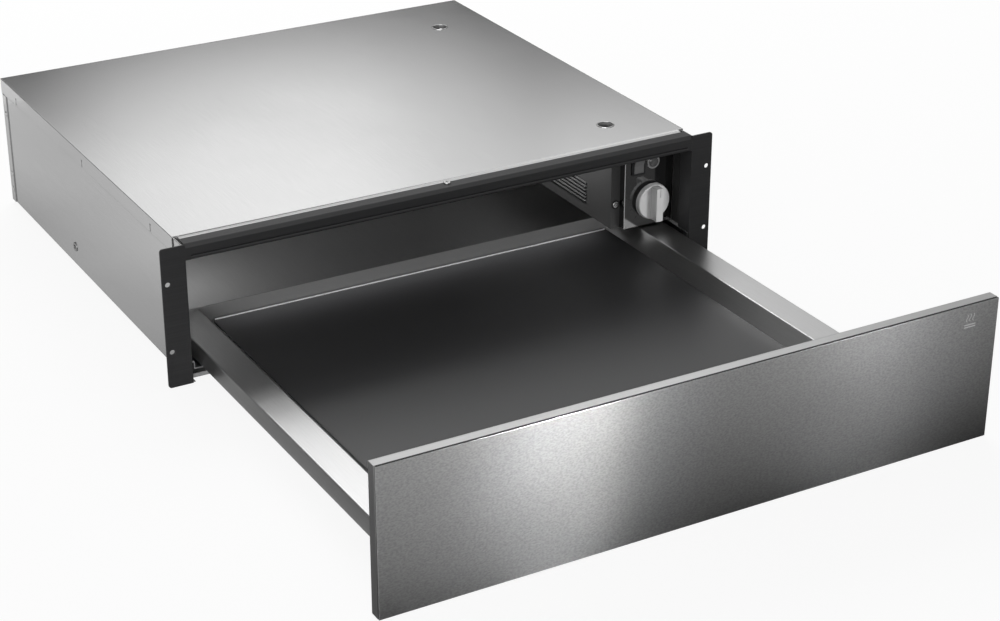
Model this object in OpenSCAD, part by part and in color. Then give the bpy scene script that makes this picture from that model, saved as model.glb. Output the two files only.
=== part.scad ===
// Built-in warming drawer, drawn open: a steel casing with a heated compartment,
// a shallow drawer on telescopic ball runners, and a flush steel front.
// Millimetres, +Z up. The origin is the centre of the four cabinet fixing holes,
// in the front plane of the side flanges. The drawer opens towards -Y.

/* [Casing] */
// Width over the cover's side flanges
casing_w = 548.5; // [450:0.5:850]
// Depth from the flanges' front plane to the back of the cover
casing_d = 503; // [460:1:600]
// Height of the casing
casing_h = 137.9; // [125:0.1:300]
// Thickness of the casing sheet
sheet_t = 1; // [0.6:0.1:1.5]
// Height of the cover's side flanges
cover_lap = 16; // [12:0.5:30]
// Start of the top plate behind the front plane
cover_start = 22.4; // [18:0.1:30]
// Diameter of the stacking holes in the cover
stack_hole_d = 16.5; // [6:0.5:22]
// Distance of the stacking holes from the cover's right side
stack_edge = 62.25; // [50:0.25:170]
// Place of the front stacking hole
stack_front_y = 69.4; // [55:0.1:80]
// Distance of the rear stacking hole from the cover's back
stack_back = 80; // [60:0.5:140]

/* [Front frame] */
// Reach of the side flanges past the casing's sides
flange_reach = 20.45; // [12:0.05:30]
// Thickness of the side flanges
flange_t = 1.5; // [1:0.1:2.5]
// Depth of the jambs behind the flanges
jamb_d = 20; // [16:0.5:32]
// Diameter of the cabinet fixing holes
fix_hole_d = 5; // [3:0.1:6]
// Distance of the fixing holes from the flange's outer edge
fix_edge = 5.6; // [4:0.1:9]
// Height of the lower fixing holes above the underside
fix_low_z = 35.7; // [15:0.1:50]
// Height between the lower and upper fixing holes
fix_pitch_z = 67; // [40:0.1:80]
// Height of the rail's front face and bead
rail_h = 15.8; // [13:0.1:17]
// Depth of the rail's top face
rail_d = 15; // [13:0.1:18]

/* [Heated compartment] */
// Width of the compartment between its partition and the casing's wall
compartment_w = 69.25; // [64:0.25:82]
// Height of the compartment's floor above the underside
compartment_z = 36; // [35.5:0.1:42]
// Set-back of the control panel behind the front plane
panel_y = 32.5; // [32:0.1:36]
// Distance from the partition to the control panel's left edge
panel_edge = 10; // [5:0.1:12]
// Number of air slots in each group
slot_count = 6; // [3:1:9]
// Distance between air slots
slot_pitch = 4; // [3.6:0.1:6]
// Length of an air slot
slot_len = 90; // [40:1:100]

/* [Controls] */
// Distance from the control panel's left edge to the knob's axis
knob_edge = 30.6; // [23:0.1:32]
// Height of the knob's axis
knob_z = 63.8; // [63:0.1:75]
// Diameter of the knob's face
knob_d = 37; // [30:0.5:40]
// Distance from the panel to the knob's face
knob_h = 9; // [8:0.5:14]
// Diameter of the regulator's shaft
shaft_d = 6; // [4:0.1:6.4]
// Diameter of the pilot lamp's ring
lamp_d = 14.5; // [13:0.1:16]

/* [Fan and heater] */
// Diameter of the fan wheel
wheel_d = 80; // [50:1:82]
// Width of the fan wheel
wheel_w = 22; // [14:0.5:23]
// Number of fan blades
blade_count = 24; // [12:1:30]
// Diameter of the heating element's sheath
heater_d = 6.5; // [5:0.1:8]

/* [Runners] */
// Share of its travel by which the drawer is drawn open
open_share = 1; // [0:0.01:1]
// Gap between the runners and the rear panel
runner_gap = 41.5; // [20:0.5:70]
// Overlap of the drawer and the casing members when fully open
overlap = 37; // [35:1:150]
// Height of the cabinet member
runner_h = 18; // [17:0.1:18.6]
// Thickness of the runner members
runner_t = 1; // [0.8:0.05:1.1]
// Diameter of the runner balls
ball_d = 2.5; // [2.4:0.01:2.6]
// Balls in each row
ball_count = 8; // [4:1:12]
// Length of a ball cage
cage_len = 180; // [140:1:190]

/* [Drawer] */
// Gap between the drawer's side skirts and the casing's walls
drawer_gap = 9.75; // [8.5:0.25:11.5]
// Width of each side ledge
ledge_w = 30.5; // [26:0.5:31]
// Height of the ledges above the casing's underside
ledge_z = 34.5; // [34.2:0.1:35]
// Height of the drawer's floor, its upper face
floor_z = 18; // [17.6:0.1:20]
// Thickness of the drawer's sheet
tray_t = 1; // [0.6:0.1:1.2]
// Thickness of the floor mat
mat_t = 2; // [1:0.1:4]

/* [Drawer front] */
// Reach of the front panel past the side flanges
front_overlap = 2.3; // [0:0.1:10]
// Height of the front panel
front_h = 133.8; // [120:0.1:290]
// Drop of the front panel below the casing's underside
front_drop = 3.4; // [0:0.1:10]
// Gap behind the closed front
front_gap = 3; // [1:0.1:6]
// Thickness of the stainless skin
skin_t = 1.2; // [0.8:0.1:2]
// Thickness of the dark bonding layer
bond_t = 1; // [0.5:0.1:2]
// Depth of the folded steel pan behind it
pan_d = 9.8; // [8:0.1:20]

/* [Part to draw] */
// Node to draw, or all

/* [Hidden] */
$fn = 48;

// Levels and planes that several pieces share
overrun = 1;
fix_mid_z = fix_low_z + fix_pitch_z / 2;
skin_x = casing_w / 2;
flange_x = skin_x + flange_reach;
fix_x = flange_x - fix_edge;
front_x = flange_x + front_overlap;
wall_out_x = skin_x - sheet_t;
wall_in_x = wall_out_x - sheet_t;
wall_x = wall_out_x - sheet_t / 2;
roof_z = casing_h - sheet_t;
back_y = casing_d - 2 * sheet_t;
jamb_x = wall_in_x - flange_t;
partition_x = wall_in_x - compartment_w;
panel_x = partition_x + panel_edge;

// Casing shell: roof lips, the sill under the drawer
shell_lip = 10;
sill_y = 10;
sill_h = 4;
sill_end = 4;

// Cover: joggle under the rail, rims, rear flange and clinch slots
joggle_start = 6;
joggle_end = 19.5;
joggle_side = 3.5;
stack_rim_t = 1;
stack_rim_h = 3;
stack_play = 0.5;
cover_back_h = 10;
clinch_w = 1.1;
clinch_h = 7;
clinch_foot = 1.3;
clinch_foot_w = 2.6;
clinch_rise = 1.6;
clinch_shares = [0.151, 0.51, 0.904];

// Rear panel: wraps, vents, cable hole
wrap_d = 10;
wrap_gap = 0.5;
vent_w = 4;
vent_pitch = 10;
vent_count = 7;
vent_edge = 2;
vent_foot_z = 76;
vent_top_gap = 16.9;
bushing_edge = 43;
bushing_z = 58;
bushing_d = 19.6;
bushing_play = 0.2;
bushing_flange_d = 25;
bushing_flange_t = 3;
bushing_len = 12;
bushing_barb = 0.9;
cable_hole_d = 8.4;

// Rivets that hold the rear panel, and the side nuts
rivet_d = 3.2;
rivet_head_d = 6.4;
rivet_head_t = 1.1;
rivet_play = 0.05;
rivet_inset = 5.5;
rivet_low_z = [14, 31.5];
rivet_top_gap = 37.9;
nut_share = 0.6;
nut_z = 20;
nut_d = 7;
nut_bore_d = 4.2;
nut_len = 7;
nut_flange_d = 9.5;
nut_flange_t = 0.8;
nut_room = 8;

// Front frame
flange_foot = 0.2;
flange_round = 3;
jamb_foot_z = 33;
rail_t = 1.2;
bead_d = 4;
rail_groove = 2.4;
rail_slope_w = 2.6;
rail_slope_h = 3;
rail_tab_w = 5.5;
rail_lip = 3;
rail_return = 12;
rail_screw_y = 11.8;
screw_d = 3.5;
screw_play = 0.15;
pan_head_d = 7;
pan_head_t = 1.8;
pan_head_round = 0.8;
screw_len = 7;
cross_w = 0.9;
cross_len = 4.2;
cross_depth = 0.9;

// Compartment: flanges, post, air slots and their hoods
partition_lip = 11;
floor_lip = 10;
post_w = 12;
post_y = 41;
post_screw_edge = 4.6;
post_screw_z = 62.2;
slot_h = 2.3;
slot_lift = 8;
inlet_y = 88;
outlet_gap = 6;
hood_t = 0.6;
hood_reach = 2;
panel_t = 1;
panel_gap = 0.4;
panel_top_gap = 2.9;
panel_foot_d = 7;

// Rocker switch
rocker_edge = 15.5;
rocker_z = 103.6;
rocker_face = [15.4, 20.6];
rocker_body = [12.9, 19];
rocker_hole_play = 0.15;
rocker_room = [11.4, 17.2];
rocker_face_t = 1.5;
rocker_depth = 19;
rocker_room_d = 9;
rocker_r = 8.5;
rocker_play = 0.1;
rocker_dish = 3;
rocker_end = [4.5, 7.2];
rocker_back = 5;
rocker_tilt = 8;
trunnion_d = 2.4;
trunnion_len = 0.6;
trunnion_play = 0.05;
tab_t = 0.8;
tab_w = 4.8;
tab_len = 8;
tab_gap = 3.4;

// Pilot lamp
lamp_edge = 33;
lamp_z = 104.6;
lamp_hole_play = 0.1;
lamp_body_d = 12;
lamp_bore_d = 10.6;
lamp_lens_play = 0.1;
lamp_face_t = 1.5;
lamp_len = 20;
lens_len = 12;
lens_rise = 1.8;
lens_proud = 0.6;

// Knob and regulator
knob_base_d = 38;
knob_base_h = 1.2;
knob_skirt_h = 5.6;
knob_hub_d = 20;
knob_round = 1.5;
knob_wall = 2;
knob_boss_d = 12;
knob_hollow_h = 5.4;
grip_w = 7.8;
grip_h = 10;
grip_round = 1.2;
pointer_w = 1.6;
pointer_len = 9;
pointer_depth = 0.6;
shaft_knob_play = 0.02;
shaft_play = 0.05;
shaft_tip_gap = 2;
regulator_w = 40;
regulator_h = 38;
regulator_d = 30;
regulator_round = 3;
regulator_cap = 5;
bush_d = 10;
bush_play = 0.1;
bush_len = 4;
nut_across = 14;
nut_t = 2.4;

// Fan
wheel_y = 133;
wheel_gap = 6;
wheel_disc_t = 1.5;
wheel_ring_t = 1.2;
wheel_ring_w = 7;
blade_w = 9;
blade_t = 0.9;
blade_turn = 32;
wheel_hub_d = 14;
wheel_hub_len = 12;
motor_shaft_d = 4;
motor_shaft_play = 0.05;
scroll_gap = 6;
scroll_t = 1;
scroll_seam = 0.05;
scroll_ring_gap = 3.2;
scroll_back = 2.5;
scroll_inlet_d = 62;
duct_h = 44;
duct_end_gap = 113;
motor_hole_d = 30;

// Fan motor
stack_w = 62;
stack_h = 46;
stack_yoke = 5;
rotor_gap = 0.5;
stack_t = 16;
stack_gap = 6;
stack_round = 4;
rotor_bore_d = 27;
cap_w = 44;
cap_h = 16;
cap_t = 4;
coil_w = 18;
coil_leg = 12;
coil_room = 11;
coil_over = 4;
coil_round = 3;
coil_play = 0.2;
stack_pin_d = 5;
stack_pin_z = 18;

// Heating element and thermal cut-out
heater_front_y = 204;
heater_len = 62;
heater_pitch = 16;
heater_bend = 9;
heater_tail = 22;
heater_play = 0.1;
heater_plate = [20, 34];
heater_plate_t = 1.5;
heater_pin_d = 3;
heater_pin_len = 7;
cutout_gap = 66;
cutout_d = 16;
cutout_t = 6;
cutout_ear = 24;
cutout_ear_t = 0.8;

// Terminal block
terminal_gap = 61;
terminal_edge = 11;
terminal_pole = 10;
terminal_count = 5;
terminal_d = 22;
terminal_h = 18;
terminal_step = 6;
terminal_wall = 1.2;
terminal_screw_d = 5;
terminal_entry_d = 3.4;

// Runner section: u runs inwards from the cabinet member's back, v up
runner_inset = 14.75;
runner_z = 22.5;
runner_front = 3.5;
runner_stop_len = 6;
lip_len = 8.6;
hook_h = 0.7;
member_gap = 0.9;
race_gap = 2.1;
middle_depth = 6.4;
slide_start = 4;
slide_depth = 10.5;
slide_h = 16;
ball_play = 0.04;
outer_ball_u = 5.2;
inner_ball_u = 6.3;
cage_t = 0.4;
cage_play = 0.12;
cage_end = 13;
outer_cage_u = 1.25;
inner_cage_u = 3.3;
cage_rim = 1.4;
window_count = 3;
window_len = 60;
window_h = 3;
buffer_len = 4.5;
middle_share = 0.5;
outer_cage_share = 0.25;
inner_cage_share = 0.75;
bracket_t = 1.2;
bracket_top_z = 20;
bracket_wall_top_z = 32;
bracket_step = 4.65;
bracket_foot_z = 12;
bracket_inner_top_z = 30;
bracket_tail = 4;

// Hangers, tray, mat and the latch's striker
hanger_t = 1;
hanger_reach = 12;
hanger_foot = 8.5;
hanger_start = 8;
hanger_tail = 3;
skirt_z = 16.5;
tray_slope = 12.2;
tray_rear_room = 9;
mat_edge = 1.2;
mat_round = 4;
striker_w = 30;
striker_t = 1.2;
striker_leg = 24;
striker_foot_z = 5.5;

// Drawer front: pan, board, inner plate, brackets
bond_inset = 1.2;
pan_t = 1;
inner_play = 0.2;
inner_t = 1;
front_bracket_t = 1.5;
front_bracket_w = 20.5;
front_bracket_len = 30;
front_bracket_h = 14.5;
front_screw_inset = 10;
front_screw_len = 6;

// Push latch
latch_w = 40;
latch_h = 14;
latch_d = 64;
latch_tail_gap = 11;
latch_round = 4;
plunger_d = 8;
plunger_play = 0.05;
plunger_reach = 8;
plunger_head_t = 3;
plunger_head_d = 11;
plunger_len = 44;
plunger_z = 7.6;
strike_gap = 0.3;
spring_wire = 0.9;
spring_turns = 7;
spring_play = 0.35;
spring_core_d = 4;
spring_core_len = 8;
spring_knee_d = 1.06;
spring_cut = 2.4;
latch_bore_end = 4;

// Colours as the photograph shows them
steel = "#b4b4b2";
black_sheet = "#3a3a3c";
dark_sheet = "#4b4b4d";
bright = "#d8d8d6";
silver = "#bcbcba";
skin_grey = "#8f8f8e";
mat_black = "#2c2c2d";
plastic_black = "#1f1f20";
amber = "#d9793a";
ceramic = "#e6e2d8";
copper = "#a9683c";

// Places along the casing's depth and the runners' lengths
cabinet_back = back_y - runner_gap;
runner_back = cabinet_back - runner_stop_len;
runner_len = runner_back - runner_front;
travel = runner_len - overlap;
open_y = -travel * open_share;
stack_hole_x = skin_x - stack_edge;
nut_y = casing_d * nut_share;
latch_tail_y = back_y - latch_tail_gap;
rivet_places = concat(rivet_low_z, casing_h - rivet_top_gap);

// Places in the heated compartment
compartment_floor_z = compartment_z + sheet_t;
panel_back_y = panel_y + panel_t;
panel_top_z = roof_z - panel_top_gap;
knob_x = panel_x + knob_edge;
rocker_x = panel_x + rocker_edge;
lamp_x = panel_x + lamp_edge;
post_screw_x = partition_x + post_screw_edge;
bushing_x = partition_x + bushing_edge;
wheel_x = partition_x + wheel_gap;
wheel_z = (compartment_floor_z + roof_z) / 2;
scroll_end_x = wheel_x + wheel_w + scroll_back;
motor_x = scroll_end_x + scroll_t + stack_gap;
duct_end_y = back_y - duct_end_gap;
duct_foot_z = wheel_z - wheel_d / 2 - scroll_gap;
slot_low_z = duct_foot_z + slot_lift;
outlet_y = duct_end_y - outlet_gap - slot_len;
heater_z = duct_foot_z + duct_h / 2;
cutout_y = duct_end_y - cutout_gap;
terminal_x = partition_x + terminal_edge;
terminal_y = back_y - terminal_gap;

// Places of the drawer, its front and the runners
front_back_y = open_y - front_gap;
pan_back_y = front_back_y;
pan_front_y = pan_back_y - pan_d;
bond_front_y = pan_front_y - bond_t;
skin_front_y = bond_front_y - skin_t;
front_foot_z = -front_drop;
front_top_z = front_foot_z + front_h;
runner_x = wall_in_x - runner_inset;
middle_front = runner_front + open_y * middle_share;
slide_front = runner_front + open_y;
middle_u = runner_t + member_gap;
lip_in_v = runner_h / 2 - runner_t;
middle_v = lip_in_v - race_gap;
middle_in_v = middle_v - runner_t;
slide_v = middle_in_v - race_gap;
outer_ball_v = (lip_in_v + middle_v) / 2;
inner_ball_v = (middle_in_v + slide_v) / 2;
ball_pitch = (cage_len - 2 * cage_end) / (ball_count - 1);
cage_closed_y = runner_front + (runner_len - cage_len) / 2;
outer_cage_front = cage_closed_y + open_y * outer_cage_share;
inner_cage_front = cage_closed_y + open_y * inner_cage_share;
tray_back = back_y - tray_rear_room + open_y;
skirt_x = wall_in_x - drawer_gap;
ledge_in_x = skirt_x - ledge_w;
floor_x = ledge_in_x - tray_slope;
tray_under_z = floor_z - tray_t;
ledge_under_z = ledge_z - tray_t;
strike_y = latch_tail_y - latch_d - plunger_reach;

// Helpers: frames, blocks and sheet-metal sections

module placed() {
  translate([0, 0, -fix_mid_z]) children();
}

module on_side(side) {
  if (side > 0) children();
  else mirror([1, 0, 0]) children();
}

module both_sides() {
  for (side = [-1, 1]) on_side(side) children();
}

module block(low, high) {
  translate(low) cube(high - low);
}

// A section drawn as X and Z, run along Y
module along_y(from, to) {
  translate([0, to, 0]) rotate([90, 0, 0]) linear_extrude(height = to - from) children();
}

// A section drawn as Y and Z, run along X
module along_x(from, to) {
  translate([from, 0, 0]) rotate([90, 0, 90]) linear_extrude(height = to - from) children();
}

// A plan drawn as X and Y, run up Z
module along_z(from, to) {
  translate([0, 0, from]) linear_extrude(height = to - from) children();
}

module rod_x(place, d, from, to) {
  translate([from, place.x, place.y]) rotate([0, 90, 0]) cylinder(d = d, h = to - from);
}

module rod_y(place, d, from, to) {
  translate([place.x, from, place.y]) rotate([-90, 0, 0]) cylinder(d = d, h = to - from);
}

module rod_z(place, d, from, to) {
  translate([place.x, place.y, from]) cylinder(d = d, h = to - from);
}

// A bent sheet of thickness t whose middle follows a path
module strip(path, t) {
  for (i = [0 : len(path) - 2]) {
    run = path[i + 1] - path[i];
    translate(path[i]) rotate(atan2(run.y, run.x)) translate([0, -t / 2]) square([norm(run), t]);
  }
  for (i = [1 : len(path) - 2]) translate(path[i]) circle(d = t);
}

// A rectangle about the origin with round corners
module round_plate(size, r) {
  square([size.x - 2 * r, size.y], center = true);
  square([size.x, size.y - 2 * r], center = true);
  for (x = [-1, 1], y = [-1, 1])
    translate([x * (size.x / 2 - r), y * (size.y / 2 - r)]) circle(r = r);
}

// A cross-recessed pan-head screw, head up, seated at the origin
module pan_screw(length) {
  difference() {
    union() {
      rotate_extrude() {
        square([pan_head_d / 2 - pan_head_round, pan_head_t]);
        square([pan_head_d / 2, pan_head_t - pan_head_round]);
        translate([pan_head_d / 2 - pan_head_round, pan_head_t - pan_head_round])
          circle(r = pan_head_round);
      }
      translate([0, 0, -length]) cylinder(d = screw_d, h = length);
    }
    for (turn = [0, 90]) rotate(turn)
      translate([-cross_len / 2, -cross_w / 2, pan_head_t - cross_depth])
        cube([cross_len, cross_w, cross_depth + overrun]);
  }
}

// Casing sheets

// Bottom, side walls and roof lips in one folded sheet
module casing_shell() placed() color(steel) {
  lip_z = roof_z - sheet_t / 2;
  difference() {
    union() {
      along_y(flange_t, back_y) strip([
        [shell_lip - wall_out_x, lip_z], [-wall_x, lip_z], [-wall_x, sheet_t / 2],
        [wall_x, sheet_t / 2], [wall_x, lip_z], [wall_out_x - shell_lip, lip_z]
      ], sheet_t);
      block([sill_end - wall_in_x, sill_y, 0], [wall_in_x - sill_end, sill_y + sheet_t, sill_h]);
    }
    block([sill_end - wall_in_x, -overrun, -overrun], [wall_in_x - sill_end, sill_y, sill_h]);
    block([-wall_in_x, -overrun, lip_z - sheet_t], [wall_in_x, cover_start, casing_h]);
    rod_x([nut_y, nut_z], nut_d + 2 * rivet_play, -casing_w, casing_w);
    for (z = rivet_places)
      rod_x([back_y - rivet_inset, z], rivet_d + 2 * rivet_play, -casing_w, casing_w);
  }
}

// An upright clinch slot with a foot at each end, drawn as Y and Z
module clinch_slot() {
  translate([-clinch_w / 2, 0]) square([clinch_w, clinch_h]);
  for (z = [0, clinch_h - clinch_foot])
    translate([-clinch_foot_w / 2, z]) square([clinch_foot_w, clinch_foot]);
}

module stack_places() {
  for (y = [stack_front_y, casing_d - stack_back])
    translate([stack_hole_x, y, 0]) children();
}

module casing_cover() placed() color(steel) {
  sheet_z = roof_z + sheet_t / 2;
  side = skin_x - sheet_t / 2;
  flange_foot_z = casing_h - cover_lap;
  joggle_z = casing_h - rail_t - sheet_t / 2;
  difference() {
    union() {
      along_y(cover_start, casing_d)
        strip([[-side, flange_foot_z], [-side, sheet_z], [side, sheet_z], [side, flange_foot_z]],
              sheet_t);
      block([-wall_out_x, casing_d - sheet_t, casing_h - cover_back_h],
            [wall_out_x, casing_d, casing_h]);
      along_x(joggle_side - wall_in_x, wall_in_x - joggle_side)
        strip([[joggle_start, joggle_z], [joggle_end, joggle_z],
               [cover_start, sheet_z], [cover_start + sheet_t, sheet_z]], sheet_t);
      stack_places() translate([0, 0, roof_z - stack_rim_h])
        cylinder(d = stack_hole_d + 2 * stack_rim_t, h = stack_rim_h + sheet_t / 2);
    }
    stack_places() translate([0, 0, roof_z - stack_rim_h - overrun])
      cylinder(d = stack_hole_d, h = stack_rim_h + sheet_t + 2 * overrun);
    rod_z([0, rail_screw_y], screw_d + 2 * screw_play, roof_z - cover_lap, casing_h);
    for (share = clinch_shares)
      along_x(-casing_w, casing_w)
        translate([casing_d * share, flange_foot_z + clinch_rise]) clinch_slot();
  }
}

// Back sheet, wrapped round the side walls
module rear_panel() placed() color(steel) {
  wrap_x = skin_x - sheet_t / 2;
  sheet_y = back_y + sheet_t / 2;
  wrap_top_z = casing_h - cover_lap - wrap_gap;
  vent_h = roof_z - vent_top_gap - vent_foot_z;
  difference() {
    union() {
      along_z(0, wrap_top_z)
        strip([[-wrap_x, back_y - wrap_d], [-wrap_x, sheet_y], [wrap_x, sheet_y],
               [wrap_x, back_y - wrap_d]], sheet_t);
      block([-wall_out_x, back_y, 0], [wall_out_x, back_y + sheet_t, roof_z]);
    }
    for (i = [0 : vent_count - 1])
      translate([partition_x + vent_edge + i * vent_pitch, back_y - overrun, vent_foot_z])
        rotate([-90, 0, 0]) linear_extrude(height = sheet_t + 2 * overrun) {
          circle(d = vent_w);
          translate([-vent_w / 2, -vent_h]) square([vent_w, vent_h]);
          translate([0, -vent_h]) circle(d = vent_w);
        }
    rod_y([bushing_x, bushing_z], bushing_d + bushing_play, back_y - overrun, casing_d);
    for (z = rivet_places)
      rod_x([back_y - rivet_inset, z], rivet_d + 2 * rivet_play, -casing_w, casing_w);
  }
}

// Snap-in bushing for the supply cable
module cable_bushing() placed() color(plastic_black) {
  place = [bushing_x, bushing_z];
  neck = back_y - bushing_len;
  difference() {
    union() {
      rod_y(place, bushing_flange_d, back_y + sheet_t, back_y + sheet_t + bushing_flange_t);
      rod_y(place, bushing_d, neck, back_y + sheet_t + bushing_flange_t);
      translate([bushing_x, neck, bushing_z]) rotate([-90, 0, 0]) cylinder(
        d1 = bushing_d - 2 * bushing_barb, d2 = bushing_d + 2 * bushing_barb,
        h = bushing_len - bushing_barb);
    }
    rod_y(place, cable_hole_d, neck - overrun, casing_d + bushing_flange_t + overrun);
  }
}

module casing_rivets() placed() color(bright) {
  both_sides() for (z = rivet_places) {
    rod_x([back_y - rivet_inset, z], rivet_d, wall_in_x - rivet_head_t, skin_x);
    translate([skin_x, back_y - rivet_inset, z]) rotate([0, 90, 0]) intersection() {
      cylinder(d = rivet_head_d, h = rivet_head_t);
      translate([0, 0, rivet_head_t - rivet_head_d]) sphere(r = rivet_head_d);
    }
    rod_x([back_y - rivet_inset, z], rivet_head_d - rivet_head_t, wall_in_x - rivet_head_t,
          wall_in_x);
  }
}

// Blind nuts in both side walls, for fixing from outside
module side_nuts() placed() color(bright) {
  both_sides() difference() {
    union() {
      rod_x([nut_y, nut_z], nut_d, wall_out_x - nut_len, wall_out_x + nut_flange_t);
      rod_x([nut_y, nut_z], nut_flange_d, wall_out_x, wall_out_x + nut_flange_t);
      rod_x([nut_y, nut_z], nut_flange_d, wall_in_x - nut_flange_t, wall_in_x);
    }
    rod_x([nut_y, nut_z], nut_bore_d, wall_in_x - nut_len - overrun, skin_x + overrun);
  }
}

// Front frame

module side_flange(side) placed() color(black_sheet) on_side(side) {
  difference() {
    union() {
      along_y(0, flange_t) translate([(flange_x + jamb_x) / 2, (casing_h + flange_foot) / 2])
        round_plate([flange_x - jamb_x, casing_h - flange_foot], flange_round);
      block([jamb_x, 0, flange_foot], [flange_x - flange_round, flange_t, casing_h - flange_round]);
      block([jamb_x, 0, casing_h - flange_round], [wall_in_x, flange_t, casing_h]);
      block([jamb_x, 0, jamb_foot_z], [wall_in_x, jamb_d, roof_z - sheet_t]);
    }
    for (z = [fix_low_z, fix_low_z + fix_pitch_z])
      rod_y([fix_x, z], fix_hole_d, -overrun, flange_t + overrun);
  }
}

// The top rail: sloped corner, face, groove, rolled bead, a stiffening return and end tabs
module top_rail() placed() color(black_sheet) {
  face_y = rail_t / 2;
  bead_z = casing_h - rail_h + bead_d / 2;
  groove_z = bead_z + bead_d / 2 + rail_groove / 2;
  foot_z = bead_z - bead_d / 2 + rail_t / 2;
  difference() {
    union() {
      along_x(-jamb_x, jamb_x) {
        strip([[rail_d, casing_h - face_y], [face_y + rail_slope_w, casing_h - face_y],
               [face_y, casing_h - face_y - rail_slope_h], [face_y, groove_z],
               [face_y + rail_groove, groove_z], [face_y + rail_groove, bead_z]], rail_t);
        translate([bead_d / 2, bead_z]) circle(d = bead_d);
        strip([[bead_d / 2, foot_z], [rail_return, foot_z], [rail_return, foot_z + rail_lip]],
              rail_t);
      }
      both_sides() block([jamb_x - rail_tab_w, 0, foot_z],
                         [jamb_x, rail_t, casing_h - face_y - rail_slope_h]);
    }
    rod_z([0, rail_screw_y], screw_d + 2 * screw_play, roof_z - rail_t, casing_h + overrun);
  }
}

// Two pan-head screws: rail to cover, and partition post to its bracket
module casing_screws() placed() color(bright) {
  translate([0, rail_screw_y, casing_h]) pan_screw(screw_len);
  translate([post_screw_x, post_y, post_screw_z]) rotate([90, 0, 0]) pan_screw(screw_len);
}

// Heated compartment

module air_slots(from_y) {
  for (i = [0 : slot_count - 1])
    translate([from_y, slot_low_z + i * slot_pitch - slot_h / 2]) square([slot_len, slot_h]);
}

// Drooping hoods over the air slots, on the drawer's side of the partition
module slot_hoods(from_y) {
  for (i = [0 : slot_count - 1])
    translate([0, 0, slot_low_z + i * slot_pitch + slot_h / 2])
      along_y(from_y, from_y + slot_len)
        polygon([
          [partition_x - sheet_t / 2, 0], [partition_x - sheet_t / 2, hood_t],
          [partition_x - hood_reach, -hood_t / 2], [partition_x - hood_reach, -hood_t * 3 / 2]
        ]);
}

// Partition, floor and post of the compartment in one folded sheet
module control_housing() placed() color(dark_sheet) {
  floor_mid_z = compartment_z + sheet_t / 2;
  lip_z = roof_z - sheet_t / 2;
  right = wall_in_x - sheet_t / 2;
  stack_notch = stack_hole_d + 2 * stack_rim_t + 2 * stack_play;
  difference() {
    union() {
      along_y(post_y, back_y)
        strip([[partition_x + partition_lip, lip_z], [partition_x, lip_z],
               [partition_x, floor_mid_z], [right, floor_mid_z], [right, compartment_z + floor_lip]],
              sheet_t);
      block([panel_x, panel_y + panel_t, compartment_z], [jamb_x - panel_gap, post_y, compartment_floor_z]);
      block([partition_x, post_y, compartment_z],
            [partition_x + post_w, post_y + sheet_t, roof_z - sheet_t]);
      slot_hoods(inlet_y);
      slot_hoods(outlet_y);
    }
    along_x(partition_x - sheet_t, partition_x + sheet_t) {
      air_slots(inlet_y);
      air_slots(outlet_y);
    }
    rod_y([post_screw_x, post_screw_z], screw_d + 2 * screw_play, post_y - overrun,
          post_y + sheet_t + overrun);
    stack_places() translate([-stack_notch / 2, -stack_notch / 2, roof_z - stack_rim_h - stack_play])
      cube([stack_notch, stack_notch, stack_rim_h + 2 * overrun]);
  }
}

// Polished plate that carries the knob, the switch and the lamp
module control_panel() placed() color(silver) {
  foot_z = compartment_floor_z;
  right = jamb_x - panel_gap;
  difference() {
    union() {
      block([panel_x, panel_y, foot_z], [right, panel_back_y, panel_top_z]);
      block([panel_x, panel_y, foot_z], [panel_x + panel_t, post_y, panel_top_z]);
      block([panel_x, panel_y, foot_z], [right, panel_back_y + panel_foot_d, foot_z + panel_t]);
    }
    rod_y([knob_x, knob_z], bush_d + 2 * bush_play, panel_y - overrun, panel_back_y + overrun);
    rod_y([lamp_x, lamp_z], lamp_body_d + 2 * lamp_hole_play, panel_y - overrun,
          panel_back_y + overrun);
    along_y(panel_y - overrun, panel_back_y + overrun)
      translate([rocker_x, rocker_z])
        square(rocker_body + [2 * rocker_hole_play, 2 * rocker_hole_play], center = true);
  }
}

// Controls

// A flat push-on terminal pointing towards +Y
module push_tab(x, y, z) {
  block([x - tab_t / 2, y, z - tab_w / 2], [x + tab_t / 2, y + tab_len, z + tab_w / 2]);
}

module regulator() placed() color(ceramic) {
  back = panel_back_y + regulator_d;
  difference() {
    union() {
      along_y(panel_back_y, back - regulator_cap)
        translate([knob_x, knob_z]) round_plate([regulator_w, regulator_h], regulator_round);
      along_y(back - regulator_cap, back) translate([knob_x, knob_z])
        round_plate([regulator_w - regulator_cap, regulator_h - regulator_cap], regulator_round);
      rod_y([knob_x, knob_z], bush_d, panel_y - bush_len, panel_back_y + overrun);
      for (x = [-1, 1], z = [-1, 1])
        push_tab(knob_x + x * regulator_w / 4, back, knob_z + z * regulator_h / 4);
    }
    rod_y([knob_x, knob_z], shaft_d + 2 * shaft_play, panel_y - bush_len - overrun,
          back - regulator_cap + shaft_tip_gap);
  }
}

module regulator_nut() placed() color(bright) {
  translate([knob_x, panel_y, knob_z]) rotate([90, 0, 0]) difference() {
    cylinder(d = nut_across, h = nut_t, $fn = 6);
    translate([0, 0, -overrun]) cylinder(d = bush_d + 2 * shaft_play, h = nut_t + 2 * overrun);
  }
}

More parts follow.
